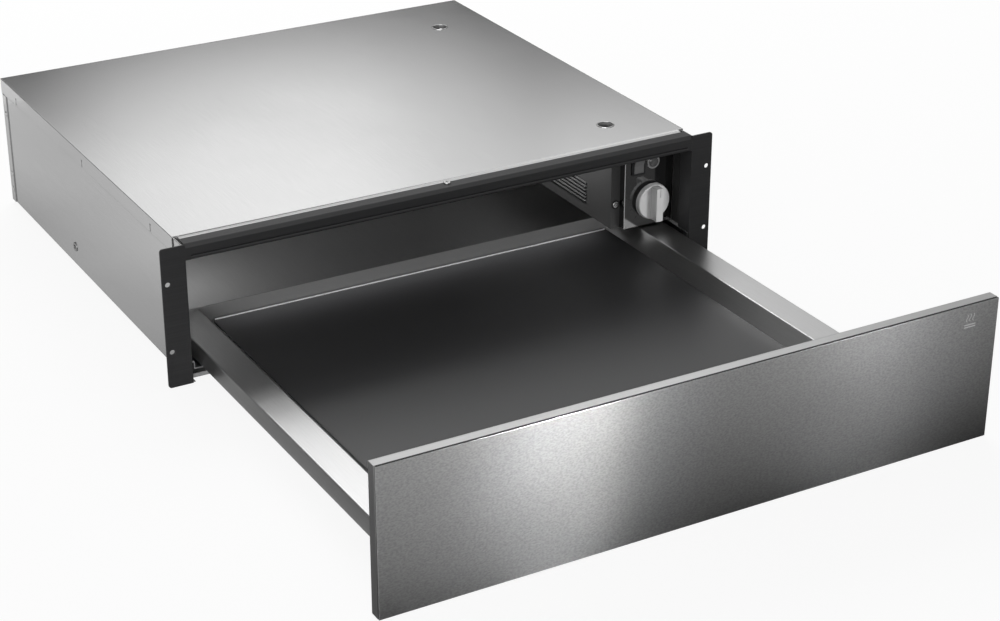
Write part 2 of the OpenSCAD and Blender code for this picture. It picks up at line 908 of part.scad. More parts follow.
// Round knob with a proud grip bar; drawn with its axis up, then turned to the front
module knob() placed() color(silver)
  translate([knob_x, panel_y, knob_z]) rotate([90, 0, 0]) difference() {
    rim = knob_d / 2;
    skirt_foot = knob_h - knob_skirt_h;
    union() {
      rotate_extrude() {
        polygon([
          [0, knob_base_h], [knob_hub_d / 2, knob_base_h], [knob_hub_d / 2, skirt_foot],
          [knob_base_d / 2, skirt_foot], [rim, knob_h - knob_round],
          [rim - knob_round, knob_h - knob_round], [rim - knob_round, knob_h], [0, knob_h]
        ]);
        translate([rim - knob_round, knob_h - knob_round]) circle(r = knob_round);
      }
      intersection() {
        translate([0, 0, knob_h - overrun]) linear_extrude(height = grip_h + overrun)
          round_plate([grip_w, knob_d], grip_round);
        translate([0, 0, knob_h - overrun]) cylinder(d = knob_d - grip_round, h = grip_h + overrun);
      }
    }
    difference() {
      translate([0, 0, knob_base_h - overrun])
        cylinder(d = knob_hub_d - 2 * knob_wall, h = knob_hollow_h + overrun);
      translate([0, 0, knob_base_h + bush_len]) cylinder(d = knob_boss_d, h = knob_h);
    }
    cylinder(d = shaft_d + 2 * shaft_knob_play, h = knob_h + grip_h / 2);
    translate([-pointer_w / 2, knob_d / 2 - grip_round - pointer_len,
               knob_h + grip_h - pointer_depth])
      cube([pointer_w, pointer_len + overrun, pointer_depth + overrun]);
  }

module knob_shaft() placed() color(bright)
  rod_y([knob_x, knob_z], shaft_d, panel_y - knob_h - grip_h / 2,
        panel_back_y + regulator_d - regulator_cap - shaft_tip_gap);

module rocker_bezel() placed() color(plastic_black) {
  pivot_y = panel_back_y;
  difference() {
    union() {
      along_y(panel_y - rocker_face_t, panel_y)
        translate([rocker_x, rocker_z]) round_plate(rocker_face, rocker_face_t);
      along_y(panel_y - overrun, panel_y + rocker_depth)
        translate([rocker_x, rocker_z]) square(rocker_body, center = true);
      for (z = [-1, 0, 1])
        push_tab(rocker_x, panel_y + rocker_depth, rocker_z + z * (tab_w + tab_t));
    }
    along_y(panel_y - 2 * rocker_face_t, panel_y + rocker_room_d)
      translate([rocker_x, rocker_z]) square(rocker_room, center = true);
    rod_x([pivot_y, rocker_z], trunnion_d + 2 * trunnion_play,
          rocker_x - rocker_room.x / 2 - trunnion_len - rocker_play,
          rocker_x + rocker_room.x / 2 + trunnion_len + rocker_play);
  }
}

// Dished rocker, turned about its trunnions to the off position
module rocker_button() placed() color(dark_sheet)
  translate([rocker_x, panel_back_y, rocker_z]) rotate([rocker_tilt, 0, 0]) {
    half = rocker_room.x / 2 - rocker_play;
    intersection() {
      along_x(-half, half) polygon([
        [-rocker_dish, 0], [-rocker_end.x, rocker_end.y], [-rocker_end.x, rocker_r],
        [rocker_back, rocker_r], [rocker_back, -rocker_r], [-rocker_end.x, -rocker_r],
        [-rocker_end.x, -rocker_end.y]
      ]);
      rod_x([0, 0], 2 * rocker_r, -half, half);
    }
    rod_x([0, 0], trunnion_d, -half - trunnion_len, half + trunnion_len);
  }

module lamp_bezel() placed() color(bright) difference() {
  union() {
    rod_y([lamp_x, lamp_z], lamp_d, panel_y - lamp_face_t, panel_y);
    rod_y([lamp_x, lamp_z], lamp_body_d, panel_y - overrun, panel_y + lamp_len);
    for (x = [-1, 1]) push_tab(lamp_x + x * tab_gap, panel_y + lamp_len, lamp_z);
  }
  rod_y([lamp_x, lamp_z], lamp_bore_d, panel_y - 2 * lamp_face_t, panel_y + lens_len);
}

module lamp_lens() placed() color(amber)
  translate([lamp_x, panel_y - lamp_face_t - lens_proud, lamp_z]) rotate([-90, 0, 0]) {
    lens_r = lamp_bore_d / 2 - lamp_lens_play;
    dome_r = (lens_r * lens_r + lens_rise * lens_rise) / (2 * lens_rise);
    cylinder(r = lens_r, h = lens_len + lens_proud);
    intersection() {
      translate([0, 0, dome_r - lens_rise]) sphere(r = dome_r);
      translate([0, 0, -lens_rise]) cylinder(r = lens_r, h = lens_rise);
    }
  }

// Fan and heater

// Scroll and duct, drawn as Y and Z
module scroll_outline(grow) {
  r = wheel_d / 2 + scroll_gap + grow;
  translate([wheel_y, wheel_z]) circle(r = r);
  translate([wheel_y, wheel_z - r]) square([duct_end_y - wheel_y + grow, duct_h + 2 * grow]);
}

module heater_holes() {
  for (z = [-1, 1])
    translate([heater_front_y - heater_bend, heater_z + z * heater_pitch / 2])
      circle(d = heater_d + 2 * heater_play);
}

module fan_scroll() placed() color(steel) {
  open_x = partition_x + sheet_t / 2;
  ring_x = partition_x + scroll_ring_gap;
  along_x(open_x, scroll_end_x - scroll_seam) difference() {
    scroll_outline(scroll_t);
    scroll_outline(0);
  }
  along_x(scroll_end_x, scroll_end_x + scroll_t) difference() {
    scroll_outline(scroll_t);
    translate([wheel_y, wheel_z]) circle(d = motor_hole_d);
    heater_holes();
  }
  along_x(ring_x, ring_x + scroll_t) translate([wheel_y, wheel_z]) difference() {
    circle(r = wheel_d / 2 + scroll_gap + scroll_t / 2);
    circle(d = scroll_inlet_d);
  }
}

module fan_wheel() placed() color(silver) {
  wheel_r = wheel_d / 2;
  back_x = wheel_x + wheel_w;
  difference() {
    union() {
      rod_x([wheel_y, wheel_z], wheel_d, back_x - wheel_disc_t, back_x);
      along_x(wheel_x, wheel_x + wheel_ring_t) translate([wheel_y, wheel_z]) difference() {
        circle(r = wheel_r);
        circle(r = wheel_r - wheel_ring_w);
      }
      along_x(wheel_x, back_x) translate([wheel_y, wheel_z])
        for (i = [0 : blade_count - 1])
          rotate(i * 360 / blade_count) translate([wheel_r - blade_w / 2, 0])
            rotate(blade_turn) square([blade_w - blade_t, blade_t], center = true);
      rod_x([wheel_y, wheel_z], wheel_hub_d, back_x - wheel_hub_len, back_x);
    }
    rod_x([wheel_y, wheel_z], motor_shaft_d + 2 * shaft_knob_play, wheel_x, back_x + overrun);
  }
}

module motor_rotor() placed() color(bright) {
  rod_x([wheel_y, wheel_z], motor_shaft_d, wheel_x + wheel_w - wheel_hub_len,
        motor_x + stack_t + cap_t + overrun);
  rod_x([wheel_y, wheel_z], rotor_bore_d - 2 * rotor_gap, motor_x + rotor_gap,
        motor_x + stack_t - rotor_gap);
}

// Laminated stack with windows for the coil, two bearing caps and two pillars
module fan_motor() placed() color(dark_sheet) {
  leg_start = rotor_bore_d / 2 + stack_yoke;
  difference() {
    union() {
      along_x(motor_x, motor_x + stack_t)
        translate([wheel_y + (stack_w - rotor_bore_d) / 2 - stack_yoke, wheel_z])
          round_plate([stack_w, stack_h], stack_round);
      for (x = [motor_x - cap_t, motor_x + stack_t])
        along_x(x, x + cap_t) translate([wheel_y, wheel_z]) round_plate([cap_h, cap_w], stack_round);
      for (z = [-1, 1])
        rod_x([wheel_y, wheel_z + z * stack_pin_z], stack_pin_d, scroll_end_x + scroll_t,
              motor_x + overrun);
    }
    rod_x([wheel_y, wheel_z], rotor_bore_d, motor_x - cap_t / 2, motor_x + stack_t + cap_t / 2);
    rod_x([wheel_y, wheel_z], motor_shaft_d + 2 * motor_shaft_play, motor_x - cap_t - overrun,
          motor_x + stack_t + cap_t + 2 * overrun);
    along_x(motor_x - overrun, motor_x + stack_t + overrun)
      for (z = [-1, 1])
        translate([wheel_y + leg_start + coil_w / 2,
                   wheel_z + z * (coil_leg / 2 + coil_room / 2)])
          square([coil_w, coil_room], center = true);
  }
}

// Coil on the stack's middle leg
module motor_coil() placed() color(copper) {
  start = wheel_y + rotor_bore_d / 2 + stack_yoke + coil_play;
  mid_x = motor_x + stack_t / 2;
  difference() {
    along_y(start, start + coil_w - 2 * coil_play) translate([mid_x, wheel_z])
      round_plate([stack_t + 2 * coil_over, coil_leg + 2 * coil_room - 2 * coil_play], coil_round);
    along_y(start - overrun, start + coil_w) translate([mid_x, wheel_z])
      square([stack_t + coil_play, coil_leg + coil_play], center = true);
  }
}

// Sheathed hairpin in the duct, its two ends turned out through the duct's wall
module heating_element() placed() color(dark_sheet) {
  mid_x = (partition_x + scroll_end_x) / 2;
  far_y = heater_front_y + heater_len;
  tail_x = mid_x + heater_bend + heater_tail;
  for (z = [-1, 1]) {
    level = heater_z + z * heater_pitch / 2;
    rod_y([mid_x, level], heater_d, heater_front_y, far_y);
    translate([mid_x + heater_bend, heater_front_y, level]) rotate(180)
      rotate_extrude(angle = 90) translate([heater_bend, 0]) circle(d = heater_d);
    rod_x([heater_front_y - heater_bend, level], heater_d, mid_x + heater_bend, tail_x);
    rod_x([heater_front_y - heater_bend, level], heater_pin_d, tail_x, tail_x + heater_pin_len);
  }
  translate([mid_x, far_y, heater_z]) rotate([0, 90, 0])
    rotate_extrude(angle = 180) translate([heater_pitch / 2, 0]) circle(d = heater_d);
}

module heater_holder() placed() color(bright)
  along_x(scroll_end_x + scroll_t, scroll_end_x + scroll_t + heater_plate_t) difference() {
    translate([heater_front_y - heater_bend, heater_z]) round_plate(heater_plate, heater_plate_t);
    heater_holes();
  }

module thermal_cutout() placed() color(plastic_black) {
  seat = scroll_end_x + scroll_t;
  place = [cutout_y, heater_z];
  rod_x(place, cutout_d, seat, seat + cutout_t);
  along_x(seat, seat + cutout_ear_t) translate(place)
    round_plate([cutout_ear, cutout_d / 2], cutout_ear_t);
  for (z = [-1, 1])
    block([seat + cutout_t, cutout_y - tab_w / 2, heater_z + z * tab_gap - tab_t / 2],
          [seat + cutout_t + tab_len, cutout_y + tab_w / 2, heater_z + z * tab_gap + tab_t / 2]);
}

module terminal_block() placed() color(ceramic) {
  difference() {
    translate([terminal_x, terminal_y, compartment_floor_z]) {
      cube([terminal_count * terminal_pole, terminal_d, terminal_h - terminal_step]);
      for (i = [0 : terminal_count - 1])
        translate([i * terminal_pole + terminal_wall, terminal_step / 2, 0])
          cube([terminal_pole - 2 * terminal_wall, terminal_d - terminal_step, terminal_h]);
    }
    for (i = [0 : terminal_count - 1]) {
      mid = terminal_x + (i + 1 / 2) * terminal_pole;
      for (y = [terminal_screw_d, terminal_d - terminal_screw_d])
        rod_z([mid, terminal_y + y], terminal_screw_d, compartment_floor_z + terminal_h / 2,
              compartment_floor_z + terminal_h + overrun);
      rod_y([mid, compartment_floor_z + terminal_h / 4], terminal_entry_d, terminal_y - overrun,
            terminal_y + terminal_d + overrun);
    }
  }
}

// Runners: sections drawn as u, inwards from the cabinet member's back, and v, up

module runner_frame(side) {
  placed() on_side(side) translate([runner_x, 0, runner_z]) mirror([1, 0, 0]) children();
}

module race_grooves(u, v) {
  for (side = [-1, 1]) translate([u, side * v]) circle(d = ball_d + 2 * ball_play);
}

// Outer channel with ball races in its lips
module cabinet_member(side) color(steel) runner_frame(side) {
  along_y(runner_front, cabinet_back) difference() {
    union() {
      translate([0, -runner_h / 2]) square([runner_t, runner_h]);
      for (v = [-runner_h / 2, lip_in_v]) translate([0, v]) square([lip_len, runner_t]);
      for (v = [-lip_in_v, lip_in_v - hook_h])
        translate([lip_len - runner_t, v]) square([runner_t, hook_h]);
    }
    race_grooves(outer_ball_u, outer_ball_v);
  }
}

// Middle channel: races outside for one pair of rows and inside for the other
module middle_member(side) color(bright) runner_frame(side) {
  difference() {
    along_y(middle_front, middle_front + runner_len) difference() {
      union() {
        translate([middle_u, -middle_v]) square([runner_t, 2 * middle_v]);
        for (v = [-middle_v, middle_in_v]) translate([middle_u, v]) square([middle_depth, runner_t]);
      }
      race_grooves(outer_ball_u, outer_ball_v);
      race_grooves(inner_ball_u, inner_ball_v);
    }
    for (i = [1 : window_count]) {
      mid = middle_front + i * runner_len / (window_count + 1);
      block([middle_u - overrun, mid - window_len / 2, -window_h / 2],
            [middle_u + runner_t + overrun, mid + window_len / 2, window_h / 2]);
    }
  }
}

// Inner member: a small channel on a flat back that the hanger holds
module drawer_member(side) color(steel) runner_frame(side) {
  along_y(slide_front, slide_front + runner_len) difference() {
    union() {
      translate([slide_depth - runner_t, -slide_h / 2]) square([runner_t, slide_h]);
      for (v = [-slide_v, slide_v - runner_t])
        translate([slide_start, v]) square([slide_depth - slide_start, runner_t]);
    }
    race_grooves(inner_ball_u, inner_ball_v);
  }
}

module ball_places(front, u, v) {
  for (side = [-1, 1], i = [0 : ball_count - 1])
    translate([u, front + cage_end + i * ball_pitch, side * v]) children();
}

// Channel-shaped strip that spaces the balls
module ball_cage(side, front, u_back, u, v) color(bright) runner_frame(side) difference() {
  along_y(front, front + cage_len) {
    translate([u_back, -v - cage_t / 2]) square([cage_t, 2 * v + cage_t]);
    for (row = [-1, 1])
      translate([u_back, row * v - cage_t / 2]) square([u + ball_d / 2 + cage_rim - u_back, cage_t]);
  }
  ball_places(front, u, v) cylinder(d = ball_d + 2 * cage_play, h = ball_d, center = true);
}

module ball_rows(side, front, u, v) color(silver) runner_frame(side)
  ball_places(front, u, v) sphere(d = ball_d);

// Stops at the back of the cabinet members
module runner_buffers() color(plastic_black) for (side = [-1, 1]) runner_frame(side)
  block([runner_t, cabinet_back - buffer_len, -middle_v], [lip_len, cabinet_back, middle_v]);

// Folded bracket from the casing's wall, under the skirt, up to the cabinet member
module runner_bracket(side) placed() color(steel) on_side(side) difference() {
  wall_mid = wall_in_x - bracket_t / 2;
  step_mid_z = bracket_top_z - bracket_t / 2;
  foot_mid_z = bracket_foot_z + bracket_t / 2;
  inner_mid = runner_x + bracket_t / 2;
  step_x = wall_in_x - bracket_step;
  along_y(runner_front, cabinet_back + bracket_tail)
    strip([[wall_mid, bracket_wall_top_z], [wall_mid, step_mid_z], [step_x, step_mid_z],
           [step_x, foot_mid_z], [inner_mid, foot_mid_z], [inner_mid, bracket_inner_top_z]],
          bracket_t);
  block([step_x - nut_room, nut_y - nut_room, nut_z - nut_room],
        [wall_in_x, nut_y + nut_room, nut_z + nut_room]);
}

// Drawer

// Angles from the ledges' undersides down to the drawer members' backs
module hangers() placed() color(steel) both_sides() {
  leg_mid = runner_x - slide_depth - hanger_t / 2;
  top_mid_z = ledge_under_z - hanger_t / 2;
  along_y(slide_front + hanger_start, slide_front + runner_len - hanger_tail)
    strip([[leg_mid + hanger_reach, top_mid_z], [leg_mid, top_mid_z],
           [leg_mid, runner_z - hanger_foot]], hanger_t);
}

// Floor, sloping sides, ledges and skirts in one folded sheet, with a rear wall
module drawer_tray() placed() color(bright) {
  floor_mid_z = floor_z - tray_t / 2;
  ledge_mid_z = ledge_z - tray_t / 2;
  in_x = ledge_in_x + tray_t / 2;
  out_x = skirt_x - tray_t / 2;
  along_y(front_back_y, tray_back)
    strip([[out_x, skirt_z], [out_x, ledge_mid_z], [in_x, ledge_mid_z], [floor_x, floor_mid_z],
           [-floor_x, floor_mid_z], [-in_x, ledge_mid_z], [-out_x, ledge_mid_z], [-out_x, skirt_z]],
          tray_t);
  along_y(tray_back - tray_t, tray_back)
    polygon([[-floor_x, tray_under_z], [floor_x, tray_under_z], [in_x, ledge_z], [-in_x, ledge_z]]);
}

module drawer_mat() placed() color(mat_black) {
  front = front_back_y + mat_edge;
  back = tray_back - tray_t - mat_edge;
  translate([0, (front + back) / 2, floor_z]) linear_extrude(height = mat_t)
    round_plate([2 * (floor_x - mat_edge), back - front], mat_round);
}

// Tab under the drawer's floor that meets the latch
module latch_striker() placed() color(steel) {
  face_y = strike_y - strike_gap + open_y;
  top_mid_z = tray_under_z - striker_t / 2;
  along_x(-striker_w / 2, striker_w / 2)
    strip([[face_y - striker_leg, top_mid_z], [face_y - striker_t / 2, top_mid_z],
           [face_y - striker_t / 2, striker_foot_z]], striker_t);
}

// Drawer front

module front_plate(inset, from, to) {
  block([inset - front_x, from, front_foot_z + inset],
        [front_x - inset, to, front_top_z - inset]);
}

module front_skin() placed() color(skin_grey) front_plate(0, skin_front_y, bond_front_y);

module front_bond() placed() color(plastic_black)
  front_plate(bond_inset, bond_front_y, pan_front_y);

module front_pan() placed() color(dark_sheet) difference() {
  front_plate(0, pan_front_y, pan_back_y);
  front_plate(pan_t, pan_front_y + pan_t, pan_back_y + overrun);
}

module front_board() placed() color(ceramic) difference() {
  front_plate(pan_t + inner_play, pan_front_y + pan_t, pan_back_y - inner_t);
  front_screw_places() rod_y([0, 0], pan_head_d, -pan_d, 0);
}

module front_inner() placed() color(bright) difference() {
  front_plate(pan_t + inner_play, pan_back_y - inner_t, pan_back_y);
  front_screw_places() rod_y([0, 0], screw_d + 2 * screw_play, -inner_t - overrun, overrun);
}

module front_screw_places() {
  for (side = [-1, 1])
    translate([side * (skirt_x - tray_t - front_bracket_t - front_screw_inset), front_back_y,
               (skirt_z + ledge_under_z) / 2]) children();
}

// Angles that tie the drawer's skirts to the inner plate
module front_brackets() placed() color(steel) difference() {
  side_mid = skirt_x - tray_t - front_bracket_t / 2;
  front_mid = front_back_y + front_bracket_t / 2;
  low = (skirt_z + ledge_under_z - front_bracket_h) / 2;
  both_sides() along_z(low, low + front_bracket_h)
    strip([[side_mid - front_bracket_w, front_mid], [side_mid, front_mid],
           [side_mid, front_mid + front_bracket_len]], front_bracket_t);
  front_screw_places() rod_y([0, 0], screw_d + 2 * screw_play, -overrun, 2 * front_bracket_t);
}

module front_screws() placed() color(bright) front_screw_places()
  translate([0, front_bracket_t, 0]) rotate([-90, 0, 0]) pan_screw(front_screw_len);

// Push latch on the casing's floor

module latch_body() placed() color(plastic_black) {
  front = latch_tail_y - latch_d;
  difference() {
    translate([0, (front + latch_tail_y) / 2, sheet_t]) linear_extrude(height = latch_h)
      round_plate([latch_w, latch_d], latch_round);
    rod_y([0, plunger_z], plunger_d + 2 * plunger_play, front - overrun,
          latch_tail_y - latch_bore_end);
  }
}

// Plunger with a broad head, held in at rest
module latch_plunger() placed() color(ceramic) {
  rod_y([0, plunger_z], plunger_head_d, strike_y, strike_y + plunger_head_t);
  rod_y([0, plunger_z], plunger_d, strike_y, strike_y + plunger_len);
  rod_y([0, plunger_z], spring_core_d, strike_y + plunger_len, strike_y + plunger_len + spring_core_len);
}

// Half a turn of the spring's wire, cut short of the ball that joins it to the next
module half_turn(r) {
  rotate(spring_cut) rotate_extrude(angle = 180 - 2 * spring_cut)
    translate([r, 0]) circle(d = spring_wire);
}

// Spring wound as half turns, level and climbing by turns, with a ball at each joint
module latch_spring() placed() color(bright) {
  start = strike_y + plunger_len;
  length = latch_tail_y - latch_bore_end - start;
  coil_r = plunger_d / 2 - spring_play - spring_wire / 2;
  climb = (length - spring_knee_d) / spring_turns;
  tilt = atan(climb / (2 * coil_r));
  translate([0, start + spring_knee_d / 2, plunger_z]) rotate([-90, 0, 0]) {
    for (i = [0 : spring_turns]) translate([0, 0, i * climb]) half_turn(coil_r);
    for (i = [0 : spring_turns - 1]) translate([0, 0, (i + 1 / 2) * climb])
      rotate([0, tilt, 0]) rotate(180) half_turn(coil_r / cos(tilt));
    for (i = [0 : spring_turns], side = [-1, 1])
      translate([side * coil_r, 0, i * climb]) sphere(d = spring_knee_d);
  }
}

casing_shell();
casing_cover();
rear_panel();
side_flange(-1);  // flange_left
side_flange(1);  // flange_right
top_rail();
casing_screws();
control_housing();
control_panel();
regulator();
regulator_nut();
knob();
knob_shaft();
rocker_bezel();
rocker_button();
lamp_bezel();
lamp_lens();
fan_scroll();
fan_wheel();
motor_rotor();
fan_motor();
motor_coil();
heating_element();
heater_holder();
thermal_cutout();
terminal_block();
cable_bushing();
side_nuts();
casing_rivets();
latch_body();
latch_plunger();
latch_spring();
latch_striker();
runner_bracket(-1);  // runner_bracket_left
runner_bracket(1);  // runner_bracket_right
cabinet_member(-1);  // cabinet_member_left
cabinet_member(1);  // cabinet_member_right
middle_member(-1);  // middle_member_left
middle_member(1);  // middle_member_right
drawer_member(-1);  // drawer_member_left
drawer_member(1);  // drawer_member_right
ball_cage(-1, outer_cage_front, outer_cage_u, outer_ball_u, outer_ball_v);  // outer_cage_left
ball_cage(1, outer_cage_front, outer_cage_u, outer_ball_u, outer_ball_v);  // outer_cage_right
ball_cage(-1, inner_cage_front, inner_cage_u, inner_ball_u, inner_ball_v);  // inner_cage_left
ball_cage(1, inner_cage_front, inner_cage_u, inner_ball_u, inner_ball_v);  // inner_cage_right
ball_rows(-1, outer_cage_front, outer_ball_u, outer_ball_v);  // outer_balls_left
ball_rows(1, outer_cage_front, outer_ball_u, outer_ball_v);  // outer_balls_right
ball_rows(-1, inner_cage_front, inner_ball_u, inner_ball_v);  // inner_balls_left
ball_rows(1, inner_cage_front, inner_ball_u, inner_ball_v);  // inner_balls_right
runner_buffers();
hangers();
drawer_tray();
drawer_mat();
front_skin();
front_bond();
front_pan();
front_inner();
front_board();
front_brackets();
front_screws();
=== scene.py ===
import math

import bmesh
import bpy
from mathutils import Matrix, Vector


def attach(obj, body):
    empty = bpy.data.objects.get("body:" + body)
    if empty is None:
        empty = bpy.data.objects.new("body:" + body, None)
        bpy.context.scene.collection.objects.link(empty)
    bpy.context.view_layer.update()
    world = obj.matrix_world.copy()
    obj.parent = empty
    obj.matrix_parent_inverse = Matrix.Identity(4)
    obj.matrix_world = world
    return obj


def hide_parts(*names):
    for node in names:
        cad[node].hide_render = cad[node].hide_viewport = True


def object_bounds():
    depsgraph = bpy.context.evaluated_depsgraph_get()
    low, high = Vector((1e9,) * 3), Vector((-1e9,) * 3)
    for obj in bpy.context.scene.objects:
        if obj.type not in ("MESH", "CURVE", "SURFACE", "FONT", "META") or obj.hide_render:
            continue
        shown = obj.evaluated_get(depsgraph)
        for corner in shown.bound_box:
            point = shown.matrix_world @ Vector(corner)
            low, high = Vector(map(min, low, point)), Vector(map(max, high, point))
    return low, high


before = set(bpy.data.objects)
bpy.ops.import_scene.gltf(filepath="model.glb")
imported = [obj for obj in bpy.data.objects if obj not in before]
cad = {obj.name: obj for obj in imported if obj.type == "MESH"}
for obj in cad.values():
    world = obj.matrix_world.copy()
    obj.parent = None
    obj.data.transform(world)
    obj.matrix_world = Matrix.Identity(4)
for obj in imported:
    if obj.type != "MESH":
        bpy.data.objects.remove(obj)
cad_box = [list(corner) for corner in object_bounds()]
scene = bpy.context.scene
scene.view_settings.view_transform = "Standard"


# The studio. A long lens stands in front of the drawer, to its left and above it, and looks
# down on it, as a catalogue picture of a built-in appliance is taken. A soft light hangs behind
# and over the casing, and two narrow ones stand in front, which draw the upright streaks that
# brushed steel has. The small ones are each kept on the few solids that they are set for.
camera_place = (-0.92656, -1.72694, 0.87959)
camera_turn = 0.515
camera_dip = 0.447
camera_lens = 81.027

camera = bpy.data.objects.new("camera", bpy.data.cameras.new("camera"))
scene.collection.objects.link(camera)
camera.data.lens = camera_lens
camera.data.clip_start = 0.05
camera.location = camera_place
camera.rotation_euler = (math.pi / 2 - camera_dip, 0, -camera_turn)
scene.camera = camera


def group_of(name, state, *names):
    """A set of solids that a lamp is kept on, or kept off."""
    made = bpy.data.collections.new(name)
    for solid in names:
        made.objects.link(cad[solid])
    for link in made.collection_objects:
        link.light_linking.link_state = state
    return made


front_only = group_of("front_only", "INCLUDE", "front_skin")
tray_only = group_of("tray_only", "INCLUDE", "drawer_tray", "drawer_mat")
inside_only = group_of("inside_only", "INCLUDE", "casing_shell", "casing_cover", "rear_panel",
                       "control_housing")
mat_only = group_of("mat_only", "INCLUDE", "drawer_mat")
housing_only = group_of("housing_only", "INCLUDE", "control_housing")
controls_only = group_of("controls_only", "INCLUDE", "knob", "rocker_button", "rocker_bezel",
                         "lamp_bezel", "lamp_lens")
not_knob = group_of("not_knob", "EXCLUDE", "knob")


def soft_light(name, place, target, size, power, on_metal=True, on_matt=True, spread=180,
               only=None):
    """A rectangular soft light that points from its place to a target.

    Its power is in watts and its spread in degrees. It can be kept out of what metal mirrors,
    or off matt surfaces, or on one group of solids only.
    """
    lamp = bpy.data.objects.new(name, bpy.data.lights.new(name, "AREA"))
    scene.collection.objects.link(lamp)
    lamp.data.shape = "RECTANGLE"
    lamp.data.size, lamp.data.size_y = size
    lamp.data.energy = power
    lamp.data.spread = math.radians(spread)
    lamp.location = place
    away = Vector(place) - Vector(target)
    lamp.rotation_euler = away.to_track_quat("Z", "Y").to_euler()
    lamp.visible_camera = False
    lamp.visible_glossy = on_metal
    lamp.visible_diffuse = on_matt
    if only:
        lamp.light_linking.receiver_collection = only
    return lamp


strip_spread = 38
soft_light("top_light", (0.75, 2.1, 2.0), (0.0, 0.0, 0.0), (2.2, 1.4), 60, on_metal=False)
soft_light("strip_light", (0.255, -1.05, 0.55), (-0.15, -0.43, 0.22), (0.02, 0.3), 0.62,
           on_matt=False, spread=strip_spread, only=front_only)
soft_light("side_strip", (0.918, -1.45, 0.42), (0.15, -0.43, 0.25), (0.08, 0.3), 0.14,
           on_matt=False, spread=strip_spread, only=front_only)
soft_light("fill_light", (-2.2, -1.4, 1.6), (0.0, 0.0, 0.0), (1.6, 1.6), 14, only=not_knob)
soft_light("low_fill", (-1.3, -2.2, 0.35), (0.05, 0.2, 0.0), (1.2, 0.6), 12, only=not_knob)
soft_light("tray_light", (0.72, 2.5, 2.34), (-0.1, -0.25, 0.0), (0.8, 0.5), 5.5, only=tray_only)
soft_light("knob_light", (1.1, -1.7, 0.7), (0.24, 0.0, 0.0), (0.5, 0.5), 18,
           on_metal=False, only=controls_only)
soft_light("mat_light", (0.0, 0.074, -0.018), (0.0, 0.074, -0.05), (0.43, 0.006), 0.16,
           on_metal=False, only=mat_only)
soft_light("mouth_light", (-0.9, -1.5, 0.30), (0.2, 0.15, 0.03), (0.5, 0.3), 5,
           on_metal=False, only=inside_only)
soft_light("louvre_light", (0.165, 0.20, 0.064), (0.208, 0.20, 0.0), (0.3, 0.02), 0.5,
           on_metal=False, only=housing_only)

# A small lamp stands in the left of the casing's cavity, to lift the dark of the hollow.
cavity_lamp = bpy.data.objects.new("cavity_lamp", bpy.data.lights.new("cavity_lamp", "POINT"))
scene.collection.objects.link(cavity_lamp)
cavity_lamp.data.energy = 0.27
cavity_lamp.data.shadow_soft_size = 0.03
cavity_lamp.location = (-0.22, 0.20, 0.01)
cavity_lamp.visible_camera = cavity_lamp.visible_glossy = False
cavity_lamp.light_linking.receiver_collection = inside_only


def linear(code):
    """An sRGB hex colour as the linear colour that a shader takes."""
    parts = [int(code[i:i + 2], 16) / 255 for i in (1, 3, 5)]
    return (*(c / 12.92 if c <= 0.04045 else ((c + 0.055) / 1.055) ** 2.4 for c in parts), 1)


def node(tree, kind, inputs=None, **settings):
    """Adds a node with its settings, and sets or links its inputs by name or number.

    A node that is given for an input stands for its own first output.
    """
    made = tree.nodes.new(kind)
    for key, value in settings.items():
        setattr(made, key, value)
    for key, value in (inputs or {}).items():
        if isinstance(value, bpy.types.Node):
            value = value.outputs[0]
        if isinstance(value, bpy.types.NodeSocket):
            tree.links.new(value, made.inputs[key])
        else:
            made.inputs[key].default_value = value
    return made


# The backdrop. White paper behind and under the appliance: the camera, and what metal and
# glass mirror, see it as plain white, and the rest of the light from it is a soft grey.
world = bpy.data.worlds.new("white_paper")
scene.world = world
world.use_nodes = True
tree = world.node_tree
tree.nodes.clear()
path = node(tree, "ShaderNodeLightPath")
seen = node(tree, "ShaderNodeMath",
            {0: path.outputs["Is Camera Ray"], 1: path.outputs["Is Glossy Ray"]},
            operation="MAXIMUM")
seen = node(tree, "ShaderNodeMath", {0: seen, 1: path.outputs["Is Transmission Ray"]},
            operation="MAXIMUM")
soft = node(tree, "ShaderNodeBackground", {"Color": linear("#b4b4b4"), "Strength": 1.0})
white = node(tree, "ShaderNodeBackground", {"Color": (1, 1, 1, 1), "Strength": 1.0})
both = node(tree, "ShaderNodeMixShader", {0: seen, 1: soft, 2: white})
node(tree, "ShaderNodeOutputWorld", {"Surface": both})

# The floor lies just under the part. To the camera most of it is plain white and the rest lit
# paper, which keeps the shadow; metal and glass mirror it as lit paper with a little white.
floor_gap = 0.0002
floor_half = 6
white_seen, white_mirrored = 0.9, 0.1
floor_z = cad_box[0][2] - floor_gap
floor_mesh = bpy.data.meshes.new("floor")
floor_mesh.from_pydata([(x * floor_half, y * floor_half, floor_z)
                        for x, y in ((-1, -1), (1, -1), (1, 1), (-1, 1))], [], [(0, 1, 2, 3)])
floor = bpy.data.objects.new("floor", floor_mesh)
scene.collection.objects.link(floor)
paper = bpy.data.materials.new("pale_paper")
paper.use_nodes = True
tree = paper.node_tree
tree.nodes.clear()
path = node(tree, "ShaderNodeLightPath")
share = node(tree, "ShaderNodeMath",
             {0: path.outputs["Is Glossy Ray"], 1: path.outputs["Is Transmission Ray"]},
             operation="MAXIMUM")
share = node(tree, "ShaderNodeMath", {0: share, 1: white_mirrored}, operation="MULTIPLY")
share = node(tree, "ShaderNodeMath", {0: path.outputs["Is Camera Ray"], 1: white_seen, 2: share},
             operation="MULTIPLY_ADD")
lit = node(tree, "ShaderNodeBsdfDiffuse", {"Color": linear("#e6e6e6")})
